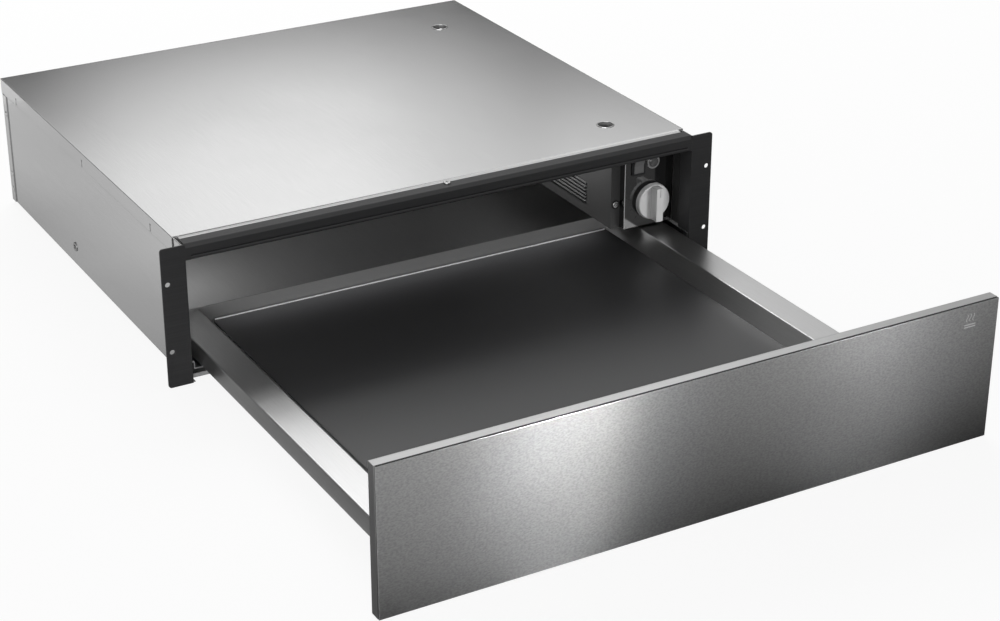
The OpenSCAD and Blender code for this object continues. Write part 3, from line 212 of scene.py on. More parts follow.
white = node(tree, "ShaderNodeEmission", {"Color": (1, 1, 1, 1), "Strength": 1.0})
both = node(tree, "ShaderNodeMixShader", {0: share, 1: lit, 2: white})
node(tree, "ShaderNodeOutputMaterial", {"Surface": both})
floor_mesh.materials.append(paper)

# Painted reflections: glowing graded sheets that light nothing and cast no shadow, which only
# metal and glass mirror. A screen stands round the set: behind the appliance it glows dark near
# the floor, bright in a band above and dimmer over that, so that flat sheet shows a painted soft
# gradient. Three more lie on the floor, before, right and left of the drawer, and paint the
# floor's reflection, with its shadow near the drawer.
painted_reflection_glow = bpy.data.materials.new("painted_reflection_sheet")
painted_reflection_glow.use_nodes = True
tree = painted_reflection_glow.node_tree
tree.nodes.clear()
graded = node(tree, "ShaderNodeAttribute", attribute_name="shade")
glow = node(tree, "ShaderNodeEmission", {"Color": (1, 1, 1, 1), "Strength": graded.outputs["Fac"]})
node(tree, "ShaderNodeOutputMaterial", {"Surface": glow})


def painted_reflection_sheet(name, points, shades, columns):
    """A glowing staged sheet, a painted reflection, with a shade at each point, given column by
    column.
    """
    rows = len(points) // columns
    faces = [(i * rows + j, i * rows + j + 1, (i + 1) * rows + j + 1, (i + 1) * rows + j)
             for i in range(columns - 1) for j in range(rows - 1)]
    mesh = bpy.data.meshes.new(name)
    mesh.from_pydata(points, [], faces)
    mesh.attributes.new("shade", "FLOAT", "POINT").data.foreach_set("value", shades)
    mesh.materials.append(painted_reflection_glow)
    made = bpy.data.objects.new(name, mesh)
    scene.collection.objects.link(made)
    made.visible_camera = made.visible_diffuse = made.visible_shadow = False


# The screen's rows are headings from straight back towards the right, and its columns heights
# over the horizon, both in degrees and seen from the middle of the part. Each shade is how
# brightly the screen glows there, as painted reflection; a shade of 1 is white.
screen_r = 3.0
screen_heights = (-2, 11, 15, 17, 19, 22, 30, 38, 48, 58, 70)
screen_shades = {
    -100: (0.25, 0.30, 0.40, 0.45, 0.50, 0.60, 0.80, 0.9, 1.0, 1.0, 1.0),
    -50: (0.04, 0.05, 0.05, 0.06, 0.06, 0.08, 0.10, 0.2, 0.4, 0.6, 0.6),
    -15: (0.04, 0.04, 0.05, 0.05, 0.06, 0.10, 0.20, 0.5, 0.9, 0.8, 0.8),
    2: (0.03, 0.03, 0.03, 0.05, 0.20, 0.80, 1.60, 2.4, 2.0, 1.0, 1.0),
    10: (0.02, 0.02, 0.02, 0.03, 0.15, 1.05, 1.50, 1.6, 1.0, 0.6, 0.8),
    14: (0.02, 0.02, 0.02, 0.22, 0.90, 1.35, 1.45, 0.8, 0.3, 0.3, 0.6),
    18: (0.02, 0.02, 0.02, 0.30, 1.25, 1.50, 1.45, 0.5, 0.3, 0.3, 0.4),
    21: (0.02, 0.02, 0.02, 0.42, 1.30, 1.50, 1.45, 0.8, 0.5, 0.2, 0.2),
    24: (0.02, 0.02, 0.02, 0.38, 1.25, 1.50, 1.35, 1.1, 1.0, 0.2, 0.15),
    28: (0.02, 0.02, 0.02, 0.25, 0.95, 1.15, 1.10, 1.2, 1.2, 0.2, 0.1),
    32: (0.02, 0.02, 0.02, 0.06, 0.50, 0.95, 1.05, 1.3, 1.2, 0.2, 0.1),
    35: (0.02, 0.02, 0.02, 0.05, 0.40, 1.25, 1.30, 1.7, 1.4, 0.2, 0.1),
    41: (0.02, 0.02, 0.02, 0.05, 0.35, 1.20, 1.20, 1.2, 0.8, 0.2, 0.1),
    50: (0.02, 0.02, 0.02, 0.05, 0.30, 0.68, 0.60, 0.9, 0.8, 0.5, 0.3),
    60: (0.03, 0.03, 0.05, 0.10, 0.25, 0.55, 0.56, 1.0, 1.2, 1.4, 1.3),
    70: (0.05, 0.05, 0.08, 0.15, 0.20, 0.30, 0.50, 0.8, 1.5, 1.9, 1.6),
    110: (0.20, 0.20, 0.20, 0.20, 0.25, 0.30, 0.40, 0.6, 1.0, 1.2, 1.2),
    130: (0.10, 0.10, 0.10, 0.10, 0.12, 0.15, 0.20, 0.4, 1.0, 1.0, 1.0),
    160: (0.10, 0.10, 0.10, 0.10, 0.12, 0.15, 0.20, 0.4, 1.0, 1.0, 1.0),
    190: (0.30, 0.30, 0.30, 0.40, 0.50, 0.60, 0.70, 0.8, 1.0, 1.0, 1.0),
}
points, shades = [], []
for heading, row in screen_shades.items():
    turn = math.radians(heading)
    for height, shade in zip(screen_heights, row):
        points.append((screen_r * math.sin(turn), screen_r * math.cos(turn),
                       screen_r * math.tan(math.radians(height))))
        shades.append(shade)
painted_reflection_sheet("painted_reflection_screen", points, shades, len(screen_shades))


def painted_floor_sheet(name, lift, lines, rows):
    """A glowing sheet over the floor, seen only in what metal and glass mirror: a painted
    reflection of the floor, with a row of shades along its y lines at each x. Its low shades near
    the drawer are painted shadow.

    Each has its own small lift, so that no two lie in one plane.
    """
    points = [(x, y, floor_z + lift) for x in rows for y in lines]
    painted_reflection_sheet(name, points, [shade for row in rows.values() for shade in row], len(rows))


# Before the drawer: low shades by its face paint the floor's shadow, higher ones lit floor.
painted_floor_sheet("painted_floor_shadow_front", 0.0004, (-0.428, -0.47, -0.53, -0.62, -0.75, -1.0), {
    -0.6: (0.30, 0.40, 0.60, 1.10, 1.40, 1.3),
    -0.2: (0.10, 0.15, 0.30, 0.70, 1.10, 1.2),
    0.05: (0.04, 0.08, 0.18, 0.50, 0.90, 1.1),
    0.3: (0.00, 0.02, 0.10, 0.40, 0.90, 1.1),
    0.7: (0.00, 0.00, 0.05, 0.35, 0.90, 1.1),
})
# Right of the drawer: a dark painted reflection of the floor.
painted_floor_sheet("painted_floor_dark_right", 0.0006, (-0.42, -0.1, 0.05, 0.5), {
    0.29: (0.10, 0.10, 0.12, 0.40),
    0.6: (0.10, 0.10, 0.12, 0.45),
    1.2: (0.30, 0.30, 0.35, 0.50),
})
# Left of the drawer: low shades along its side paint the floor's shadow under it.
painted_floor_sheet("painted_floor_shadow_left", 0.0008, (-0.45, -0.2, 0.02, 0.08, 0.15, 0.3, 0.45, 0.6, 0.8), {
    -0.70: (0.40, 0.50, 0.60, 0.80, 0.80, 0.80, 0.75, 0.70, 0.70),
    -0.43: (0.09, 0.12, 0.35, 0.75, 0.78, 0.82, 0.76, 0.65, 0.70),
    -0.355: (0.09, 0.14, 0.25, 0.55, 0.62, 0.69, 0.65, 0.65, 0.70),
    -0.32: (0.10, 0.18, 0.22, 0.50, 0.53, 0.61, 0.60, 0.68, 0.70),
    -0.275: (0.10, 0.20, 0.22, 0.45, 0.50, 0.54, 0.50, 0.60, 0.65),
})


# The casing: a folded shell, a cover and a back of one millimetre sheet steel, clinched and
# riveted together. The sheet is galvanised and skin-passed at the mill, and isn't painted.

# Most of a noise's values lie between the two that are named here, so its range is drawn out
# from them. The clouds on a metal are about 110 mm wide, and change how it shines by 8 percent.
noise_low, noise_high = 0.3, 0.7
clouds_per_m = 9.0
wear_swing = 0.08


def metal_sheet(name, colour, roughness, line_mm, along, stretch=24, anisotropic=0.0,
                tangent=None, line_depth=0.15, cloud=0.04, edge_mm=0.5, metallic=1.0):
    """A rolled, ground or drawn metal: fine lines along an axis, slow clouds and soft edges.

    Real lines are a few hundredths of a millimetre wide, too fine to show, so they are drawn
    line_mm wide, and a quarter as deep.
    """
    material = bpy.data.materials.new(name)
    material.use_nodes = True
    tree = material.node_tree
    tree.nodes.clear()
    place = node(tree, "ShaderNodeTexCoord")
    per_m = 1000 / line_mm
    scale = [per_m, per_m, per_m]
    scale["xyz".index(along)] = per_m / stretch
    lines_at = node(tree, "ShaderNodeMapping", {"Vector": place.outputs["Object"], "Scale": scale})
    lines = node(tree, "ShaderNodeTexNoise", {"Vector": lines_at, "Scale": 1.0, "Detail": 2.0,
                                               "Roughness": 0.6})
    clouds = node(tree, "ShaderNodeTexNoise", {"Vector": place.outputs["Object"],
                                                "Scale": clouds_per_m, "Detail": 3.0})
    tint = node(tree, "ShaderNodeMapRange", {0: lines, 1: noise_low, 2: noise_high,
                                              3: 1 - cloud, 4: 1 + cloud})
    base = node(tree, "ShaderNodeVectorMath", {0: linear(colour)[:3], "Scale": tint},
                operation="SCALE")
    wear = node(tree, "ShaderNodeMapRange", {0: clouds, 1: noise_low, 2: noise_high,
                                              3: roughness * (1 - wear_swing),
                                              4: roughness * (1 + wear_swing)})
    edge = node(tree, "ShaderNodeBevel", {"Radius": edge_mm / 1000}, samples=6)
    bump = node(tree, "ShaderNodeBump", {"Height": lines, "Strength": line_depth,
                                          "Distance": line_mm / 1000 / 4, "Normal": edge})
    metal = node(tree, "ShaderNodeBsdfPrincipled", {
        "Base Color": base, "Metallic": metallic, "Roughness": wear,
        "Anisotropic": anisotropic, "Normal": bump})
    if tangent:
        way = node(tree, "ShaderNodeCombineXYZ", {0: tangent[0], 1: tangent[1], 2: tangent[2]})
        tree.links.new(way.outputs[0], metal.inputs["Tangent"])
    node(tree, "ShaderNodeOutputMaterial", {"Surface": metal})
    return material


def dress(material, *names):
    """Gives a material to the solids of the frame that are made of it."""
    for name in names:
        cad[name].data.materials.clear()
        cad[name].data.materials.append(material)


# Skin-passed zinc coating: it mirrors softly, with hardly visible rolling lines from front to
# back. Inside the casing it is duller, from the handling and the warm air.
casing_sheet = metal_sheet("skin_passed_galvanised_sheet", "#c2c2c2", 0.17, 1.6, "y", cloud=0.02,
                           line_depth=0.03, edge_mm=1.2)
inside_x = 0.27275
inside_top_z, inside_foot_z = 0.0682, -0.0687
inside_back_y = 0.5025
inside_roughness, inside_metallic = 0.42, 0.6
tree = casing_sheet.node_tree
metal = next(n for n in tree.nodes if n.type == "BSDF_PRINCIPLED")
place = node(tree, "ShaderNodeTexCoord")
split = node(tree, "ShaderNodeSeparateXYZ", {0: place.outputs["Object"]})
across = node(tree, "ShaderNodeMath", {0: split.outputs["X"]}, operation="ABSOLUTE")
inside = node(tree, "ShaderNodeMath", {0: across, 1: inside_x}, operation="LESS_THAN")
for axis, limit, test in (("Z", inside_top_z, "LESS_THAN"), ("Z", inside_foot_z, "GREATER_THAN"),
                          ("Y", inside_back_y, "LESS_THAN")):
    within = node(tree, "ShaderNodeMath", {0: split.outputs[axis], 1: limit}, operation=test)
    inside = node(tree, "ShaderNodeMath", {0: inside, 1: within}, operation="MULTIPLY")
outer = metal.inputs["Roughness"].links[0].from_socket
dull = node(tree, "ShaderNodeMapRange", {0: inside, 3: outer, 4: inside_roughness})
tree.links.new(dull.outputs[0], metal.inputs["Roughness"])
grey = node(tree, "ShaderNodeMapRange", {0: inside, 3: 1.0, 4: inside_metallic})
tree.links.new(grey.outputs[0], metal.inputs["Metallic"])
dress(casing_sheet, "casing_shell", "casing_cover", "rear_panel")


# The rims of the two holes in the cover for stacking pins: the press has turned the sheet's
# edge down round each hole, which leaves a bright rounded ring.
def repeated(name, group, sizes, places):
    """Runs a tree of nodes on a set of points and keeps what it makes as a plain mesh."""
    maker_mesh = bpy.data.meshes.new(name + "_places")
    maker_mesh.from_pydata(places, [], [])
    maker = bpy.data.objects.new(name + "_maker", maker_mesh)
    scene.collection.objects.link(maker)
    modifier = maker.modifiers.new("repeat", "NODES")
    modifier.node_group = group
    for item in group.interface.items_tree:
        if item.item_type == "SOCKET" and item.in_out == "INPUT" and item.name in sizes:
            modifier[item.identifier] = sizes[item.name]
    shown = maker.evaluated_get(bpy.context.evaluated_depsgraph_get())
    mesh = bpy.data.meshes.new_from_object(shown)
    mesh.name = name
    maker.modifiers.remove(modifier)
    bpy.data.objects.remove(maker)
    piece = bpy.data.objects.new(name, mesh)
    scene.collection.objects.link(piece)
    return piece


def tree_of_nodes(name, sizes):
    """An empty geometry tree with named inputs for its sizes."""
    group = bpy.data.node_groups.new(name, "GeometryNodeTree")
    group.interface.new_socket("Geometry", in_out="INPUT", socket_type="NodeSocketGeometry")
    group.interface.new_socket("Geometry", in_out="OUTPUT", socket_type="NodeSocketGeometry")
    kinds = {"Material": "NodeSocketMaterial", "Count": "NodeSocketInt"}
    for size in sizes:
        group.interface.new_socket(size, in_out="INPUT",
                                   socket_type=kinds.get(size, "NodeSocketFloat"))
    return group, node(group, "NodeGroupInput"), node(group, "NodeGroupOutput")


hole_r = 0.0084
hole_x = 0.212
hole_ys = (0.0694, 0.423)
cover_top_z = 0.0687
rim_wire = 0.0006
rim_steps, wire_steps = 48, 10
# The ring's middle line lies a fifth of its wire's radius above the cover, the rest is sunk.
rim_rise = 0.2

group, given, made = tree_of_nodes("ring_at_each_place", ("Ring Radius", "Wire Radius", "Material"))
ring = node(group, "GeometryNodeCurvePrimitiveCircle",
            {"Resolution": rim_steps, "Radius": given.outputs["Ring Radius"]})
wire = node(group, "GeometryNodeCurvePrimitiveCircle",
            {"Resolution": wire_steps, "Radius": given.outputs["Wire Radius"]})
swept = node(group, "GeometryNodeCurveToMesh", {0: ring, 1: wire})
smooth = node(group, "GeometryNodeSetShadeSmooth", {0: swept})
put = node(group, "GeometryNodeInstanceOnPoints", {"Points": given.outputs["Geometry"],
                                                    "Instance": smooth})
real = node(group, "GeometryNodeRealizeInstances", {0: put})
painted = node(group, "GeometryNodeSetMaterial", {"Geometry": real,
                                                   "Material": given.outputs["Material"]})
group.links.new(painted.outputs[0], made.inputs[0])

# Burnished zinc coating: the press tool has polished it, so the ring catches the light.
rim_metal = metal_sheet("burnished_galvanised_rim", "#d8d8d8", 0.14, 1.0, "z", cloud=0.01,
                        line_depth=0.02)
rims = repeated("stacking_hole_rims", group, {"Ring Radius": hole_r, "Wire Radius": rim_wire,
                                              "Material": rim_metal},
                [(hole_x, y, cover_top_z + rim_wire * rim_rise) for y in hole_ys])
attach(rims, "casing")


# Dark plates in the cover's clinch slots, three on each side: painted shadow, so that the
# slots read as dark hollows.
lug_x = 0.27385
lug_z = 0.0583
lug_size = (0.0006, 0.0010, 0.0062)
# Each lug's place is a share of the casing's depth from the front.
casing_d = 0.503
lug_shares = (0.151, 0.51, 0.904)

group, given, made = tree_of_nodes("lug_at_each_place", ("Depth", "Width", "Height", "Material"))
size = node(group, "ShaderNodeCombineXYZ", {0: given.outputs["Depth"], 1: given.outputs["Width"],
                                             2: given.outputs["Height"]})
block = node(group, "GeometryNodeMeshCube", {"Size": size, "Vertices X": 2, "Vertices Y": 3,
                                              "Vertices Z": 7})
put = node(group, "GeometryNodeInstanceOnPoints", {"Points": given.outputs["Geometry"],
                                                    "Instance": block})
real = node(group, "GeometryNodeRealizeInstances", {0: put})
painted = node(group, "GeometryNodeSetMaterial", {"Geometry": real,
                                                   "Material": given.outputs["Material"]})
group.links.new(painted.outputs[0], made.inputs[0])

# Painted shadow in the slots: a rough dark grey.
slot_shadow_grey = metal_sheet("painted_slot_shadow", "#3a3a3a", 0.5, 0.4, "z", cloud=0.1)
dark_slot_plates = repeated("clinch_slot_shadows", group, {"Depth": lug_size[0], "Width": lug_size[1],
                                       "Height": lug_size[2], "Material": slot_shadow_grey},
                [(side * lug_x, casing_d * share, lug_z)
                 for side in (-1, 1) for share in lug_shares])
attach(dark_slot_plates, "casing")


# The front frame: two side flanges with their jambs, which screw to the cabinet, and a beaded
# top rail. All three are folded from steel sheet and sprayed black before they are fixed.
# Black epoxy powder coat: satin, with a slight orange peel 1.4 mm wide, and faint lines along
# the rail, 1.1 mm apart, where the folded sheet's rolling lines show through.
black_coat = bpy.data.materials.new("satin_black_powder_coat")
black_coat.use_nodes = True
tree = black_coat.node_tree
tree.nodes.clear()
peel_per_m = 700.0
peel_strength, peel_depth = 0.12, 0.0003
peel_shiny, peel_dull = 0.44, 0.52
line_per_m = 900.0
line_stretch = 200
line_tint = 0.14
coat_edge_r = 0.0006
place = node(tree, "ShaderNodeTexCoord")
peel = node(tree, "ShaderNodeTexNoise", {"Vector": place.outputs["Object"],
                                          "Scale": peel_per_m, "Detail": 2.0})
drawn = node(tree, "ShaderNodeMapping", {
    "Vector": place.outputs["Object"],
    "Scale": (line_per_m / line_stretch, line_per_m, line_per_m)})
drawn = node(tree, "ShaderNodeTexNoise", {"Vector": drawn, "Scale": 1.0, "Detail": 1.0})
edge = node(tree, "ShaderNodeBevel", {"Radius": coat_edge_r}, samples=6)
bump = node(tree, "ShaderNodeBump", {"Height": peel, "Strength": peel_strength,
                                      "Distance": peel_depth, "Normal": edge})
worn = node(tree, "ShaderNodeMapRange", {0: peel, 1: noise_low, 2: noise_high,
                                          3: peel_shiny, 4: peel_dull})
shade = node(tree, "ShaderNodeMapRange", {0: drawn, 1: noise_low, 2: noise_high,
                                           3: 1 - line_tint, 4: 1 + line_tint})
black = node(tree, "ShaderNodeVectorMath", {0: linear("#2c2c2d")[:3], "Scale": shade},
             operation="SCALE")
coat = node(tree, "ShaderNodeBsdfPrincipled", {"Base Color": black, "Roughness": worn,
                                                "IOR": 1.45, "Normal": bump})
node(tree, "ShaderNodeOutputMaterial", {"Surface": coat})
dress(black_coat, "flange_left", "flange_right", "top_rail")


# Screws, rivets and the hollow nuts in the casing's sides, all standard pieces: headed steel
# with a bright zinc plating, driven or squeezed after the casing is folded.
# Bright zinc plating: smooth and nearly mirror bright, with a little cloud.
screw_zinc = metal_sheet("bright_zinc_plated_screws", "#cdcdcd", 0.16, 1.0, "x", cloud=0.02,
                         line_depth=0.03)
dress(screw_zinc, "casing_screws", "casing_rivets", "regulator_nut", "front_screws")

# Dull zinc plating of the hollow nuts, which are barrel plated and knock against each other.
nut_zinc = metal_sheet("barrel_plated_hollow_nuts", "#9a9a9a", 0.28, 0.8, "x", cloud=0.05,
                       line_depth=0.05)
dress(nut_zinc, "side_nuts")


# The control compartment: an upright partition with air slots under drooping hoods, its floor,
# and the post that carries the control panel. It is folded from thin sheet, and riveted in.
# Dull rolled sheet: darker and rougher than the casing, so it stays quiet beside the panel. It
# scatters half of its light, as oxide does, so that its hoods show under the light from above.
compartment_sheet = metal_sheet("dull_rolled_partition_sheet", "#505050", 0.42, 1.6, "y",
                                cloud=0.03, edge_mm=0.4, metallic=0.5)
dress(compartment_sheet, "control_housing")

# The control panel: a small upright plate of stainless steel in front of the compartment.
# Polished stainless steel: close to a mirror, so it mostly shows what stands before it.
panel_steel = metal_sheet("polished_stainless_plate", "#8e8e8e", 0.09, 2.0, "z", cloud=0.01,
                          line_depth=0.02)
dress(panel_steel, "control_panel")


# The panel's left edge: a thin pale strip stands along it, a painted highlight, which shows as
# a bright upright line.
left_edge_low, left_edge_high = (0.2130, 0.0321, -0.0322), (0.2138, 0.0330, 0.0648)
left_edge_r = 0.0002


def rounded_block(mesh, low, high, radius, steps=3, along=None):
    """Adds a block with rounded edges; along gives the one axis whose edges are rounded."""
    made = bmesh.ops.create_cube(mesh, size=1)["verts"]
    for v in made:
        v.co = Vector([low[i] + (v.co[i] + 0.5) * (high[i] - low[i]) for i in range(3)])
    edges = {e for v in made for e in v.link_edges}
    if along is not None:
        edges = {e for e in edges if e.verts[0].co[along] != e.verts[1].co[along]}
    bmesh.ops.bevel(mesh, geom=list(edges), offset=radius, segments=steps, profile=0.5,
                    affect="EDGES")


def finished_piece(name, mesh, material, sharp=35):
    """A finished object from a mesh in the making: faces outwards, smooth but for its edges."""
    bmesh.ops.recalc_face_normals(mesh, faces=mesh.faces)
    data = bpy.data.meshes.new(name)
    mesh.to_mesh(data)
    mesh.free()
    data.polygons.foreach_set("use_smooth", [True] * len(data.polygons))
    data.set_sharp_from_angle(angle=math.radians(sharp))
    data.materials.append(material)
    piece = bpy.data.objects.new(name, data)
    scene.collection.objects.link(piece)
    flat = piece.modifiers.new("flat_faces", "WEIGHTED_NORMAL")
    flat.keep_sharp = True
    shown = piece.evaluated_get(bpy.context.evaluated_depsgraph_get())
    piece.data = bpy.data.meshes.new_from_object(shown)
    piece.modifiers.clear()
    return piece


# Painted highlight: a pale, soft and mostly matt grey, bright under any lamp.
edge_highlight_pale = metal_sheet("painted_edge_highlight", "#e8e8e8", 0.4, 0.6, "z", cloud=0.02,
                          metallic=0.3)
mesh = bmesh.new()
rounded_block(mesh, left_edge_low, left_edge_high, left_edge_r)
left_edge_strip = finished_piece("panel_left_edge_highlight", mesh, edge_highlight_pale)
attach(left_edge_strip, "casing")


# The dial's marks: a ring of short strokes round the knob, printed on the panel in black.
# They carry no letters: the strokes stand for the steps of the temperature.
dial_x, dial_y, dial_z = 0.2436, 0.0325, -0.0054
dial_r = 0.0232
stroke_size = (0.0005, 0.00006, 0.0024)
stroke_count = 11
dial_from, dial_sweep = -135, 270

group, given, made = tree_of_nodes("strokes_round_a_dial", (
    "Count", "Radius", "From", "Step", "Width", "Thickness", "Length", "Material"))
dots = node(group, "GeometryNodePoints", {"Count": given.outputs["Count"]})
index = node(group, "GeometryNodeInputIndex")
turn = node(group, "ShaderNodeMath",
            {0: index, 1: given.outputs["Step"], 2: given.outputs["From"]},
            operation="MULTIPLY_ADD")
sine = node(group, "ShaderNodeMath", {0: turn}, operation="SINE")
cosine = node(group, "ShaderNodeMath", {0: turn}, operation="COSINE")
out_x = node(group, "ShaderNodeMath", {0: sine, 1: given.outputs["Radius"]}, operation="MULTIPLY")
out_z = node(group, "ShaderNodeMath", {0: cosine, 1: given.outputs["Radius"]}, operation="MULTIPLY")
spot = node(group, "ShaderNodeCombineXYZ", {0: out_x, 2: out_z})
ring = node(group, "GeometryNodeSetPosition", {"Geometry": dots, "Position": spot})
size = node(group, "ShaderNodeCombineXYZ", {
    0: given.outputs["Width"], 1: given.outputs["Thickness"], 2: given.outputs["Length"]})
stroke = node(group, "GeometryNodeMeshCube", {"Size": size})
lean = node(group, "ShaderNodeCombineXYZ", {1: turn})
put = node(group, "GeometryNodeInstanceOnPoints", {"Points": ring, "Instance": stroke,
                                                    "Rotation": lean})
real = node(group, "GeometryNodeRealizeInstances", {0: put})
centre = node(group, "ShaderNodeCombineXYZ", {0: dial_x, 1: dial_y, 2: dial_z})
moved = node(group, "GeometryNodeTransform", {"Geometry": real, "Translation": centre})
painted = node(group, "GeometryNodeSetMaterial", {"Geometry": moved,
                                                   "Material": given.outputs["Material"]})
group.links.new(painted.outputs[0], made.inputs[0])


# A moulded skin's grain is 0.2 mm deep as drawn. It changes how the skin shines by 10 percent
# and its colour by 5.
grain_rise = 0.0002
grain_shine, grain_tint = 0.1, 0.05


def moulding(name, colour, roughness, grain_mm=0.8, depth=0.1, ior=1.5, edge_mm=0.4):
    """A moulded, cast or printed piece that isn't metal, with the fine even grain of its mould.

    The real grain is finer than a tenth of a millimetre, and is drawn grain_mm wide, to show.
    """
    material = bpy.data.materials.new(name)
    material.use_nodes = True
    tree = material.node_tree
    tree.nodes.clear()
    place = node(tree, "ShaderNodeTexCoord")
    grain = node(tree, "ShaderNodeTexNoise", {"Vector": place.outputs["Object"],
                                               "Scale": 1000 / grain_mm})
    edge = node(tree, "ShaderNodeBevel", {"Radius": edge_mm / 1000}, samples=4)
    bump = node(tree, "ShaderNodeBump", {"Height": grain, "Strength": depth,
                                          "Distance": grain_rise, "Normal": edge})
    worn = node(tree, "ShaderNodeMapRange", {0: grain, 1: noise_low, 2: noise_high,
                                              3: roughness * (1 - grain_shine),
                                              4: roughness * (1 + grain_shine)})
    tint = node(tree, "ShaderNodeMapRange", {0: grain, 1: noise_low, 2: noise_high,
                                              3: 1 - grain_tint, 4: 1 + grain_tint})
    base = node(tree, "ShaderNodeVectorMath", {0: linear(colour)[:3], "Scale": tint},
                operation="SCALE")
    skin = node(tree, "ShaderNodeBsdfPrincipled", {"Base Color": base, "Roughness": worn,
                                                    "IOR": ior, "Normal": bump})
    node(tree, "ShaderNodeOutputMaterial", {"Surface": skin})
    return material


# Screen-printed ink: matt black, so the strokes read against the polished plate.
dial_ink = moulding("screen_printed_black_ink", "#1c1c1c", 0.6, grain_mm=0.4, depth=0.05)
strokes = repeated("dial_strokes", group, {
    "Count": stroke_count, "Radius": dial_r, "From": math.radians(dial_from),
    "Step": math.radians(dial_sweep / (stroke_count - 1)), "Width": stroke_size[0],
    "Thickness": stroke_size[1], "Length": stroke_size[2], "Material": dial_ink}, [(0, 0, 0)])
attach(strokes, "casing")


# The washer under the screw in the post: a flat ring of moulded rubber, slipped on before the
# screw is driven, which shows as a black ring round the screw's head.
washer_centre = (0.20785, 0.0404, -0.0070)
washer_hole_r, washer_r, washer_t = 0.0026, 0.0046, 0.0009
washer_steps = 40


def turned_ring(mesh, centre, profile, steps):
    """Adds a ring turned round the y axis through a centre, from a closed (radius, y) profile."""
    rings = []
    for i in range(steps):
        turn = 2 * math.pi * i / steps
        side, up = math.sin(turn), math.cos(turn)
        rings.append([mesh.verts.new((centre[0] + r * side, centre[1] + y, centre[2] + r * up))
                      for r, y in profile])
    for one, two in zip(rings, rings[1:] + rings[:1]):
        for i in range(len(profile)):
            j = (i + 1) % len(profile)
            mesh.faces.new((one[i], one[j], two[j], two[i]))


# Washer rubber: black and dull, so it rings the bright screw.
washer_rubber = moulding("moulded_washer_rubber", "#121212", 0.7)
mesh = bmesh.new()
half = washer_t / 2
washer_profile = [(washer_hole_r, -half), (washer_r - half / 2, -half), (washer_r, -half / 3),
                  (washer_r, half / 3), (washer_r - half / 2, half), (washer_hole_r, half)]
turned_ring(mesh, washer_centre, washer_profile, washer_steps)
washer = finished_piece("post_screw_washer", mesh, washer_rubber)
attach(washer, "casing")


# Beside the panel on the right: a black strip in the gap to the casing's jamb, painted shade
# where the side wall lies in shadow.
gap_shade_low, gap_shade_high = (0.2704, 0.0203, -0.0332), (0.2721, 0.0322, 0.0640)
gap_shade_r = 0.0005
# Painted shade: a black, dull, finely pored strip, so the gap reads as shadow.
gap_shade_black = moulding("painted_gap_shade_black", "#161616", 0.9, grain_mm=0.5, depth=0.6)
mesh = bmesh.new()
rounded_block(mesh, gap_shade_low, gap_shade_high, gap_shade_r)
gap_shade_strip = finished_piece("jamb_painted_gap_shade", mesh, gap_shade_black)
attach(gap_shade_strip, "casing")


# The knob turns the regulator behind the panel through its flatted shaft. It is moulded in
# plastic in one piece with its grip bar, and metallised to go with the steel.
# Metallised plastic: a pale satin silver that scatters the light, so it reads nearly white.
knob_silver = metal_sheet("satin_metallised_plastic", "#e8e8e8", 0.42, 1.0, "x", cloud=0.01,
                          line_depth=0.02, edge_mm=0.8, metallic=0.25)
dress(knob_silver, "knob")

# Turned steel: fine rings from the lathe, which the lines across the shaft stand for.
turned_steel = metal_sheet("lathe_turned_steel", "#a6a6a6", 0.25, 0.8, "x", cloud=0.03)
dress(turned_steel, "knob_shaft", "motor_rotor")

# The regulator and the terminal block, which carry current, and the latch's plunger: pressed
# or injected from a stiff pale resin. Its grain is fine and even, and it hardly shines.
pale_resin = moulding("pale_moulded_thermoset_resin", "#ddd8cc", 0.5)
dress(pale_resin, "regulator", "terminal_block", "latch_plunger")


# The rocker switch and the pilot lamp, which snap into holes in the panel. The switch has a
# black frame and a dark grey rocker with one dished face.
# Glass-filled nylon: black and slightly grained, as it comes from the mould.
black_nylon = moulding("black_glass_filled_nylon", "#1b1b1c", 0.45)
dress(black_nylon, "rocker_bezel", "latch_body", "cable_bushing", "thermal_cutout")

# Dark grey ABS: a finer mould finish than the frame's, so it shines a little more.
rocker_abs = moulding("dark_grey_moulded_abs", "#5a5a5a", 0.32)
dress(rocker_abs, "rocker_button")

# Black chrome of the lamp's ring, and the smoked lens inside it, which is dark when unlit.
black_chrome = metal_sheet("black_chromed_lamp_ring", "#9c9c9c", 0.3, 1.0, "x", cloud=0.01,
                           line_depth=0.02, metallic=0.5)
dress(black_chrome, "lamp_bezel")
smoked_lens = moulding("smoked_polycarbonate_lens", "#4c4c4c", 0.12, grain_mm=1.2, depth=0.03,
                       ior=1.58)
dress(smoked_lens, "lamp_lens")


# The fan behind the compartment's inlet: a wheel in a spiral housing, its small motor with a
# laminated core and one coil, and the heater in the duct after it.
# Zinc-plated sheet: bluish grey and satin, with the lines of the rolling mill. The hangers and
# brackets of the drawer and its runners are pressed from it too.
zinc_sheet = metal_sheet("zinc_plated_pressed_sheet", "#b4b5b6", 0.3, 1.5, "y", cloud=0.04)
dress(zinc_sheet, "fan_scroll", "heater_holder", "hangers", "runner_bracket_left",
      "runner_bracket_right", "latch_striker", "front_brackets")

# Pressed aluminium: pale, soft and a little brighter than the housing.
wheel_aluminium = metal_sheet("pressed_aluminium_wheel", "#c9cacb", 0.32, 1.0, "x", cloud=0.03)
dress(wheel_aluminium, "fan_wheel")

# Stacked core plates: dark varnished edges, so its lines lie across the stack.
core_steel = metal_sheet("varnished_core_plates", "#4a4745", 0.45, 0.5, "y", cloud=0.08,
                         line_depth=0.3)
dress(core_steel, "fan_motor")
winding = moulding("varnished_copper_winding", "#8a4a24", 0.35, grain_mm=0.4, depth=0.5)
dress(winding, "motor_coil")

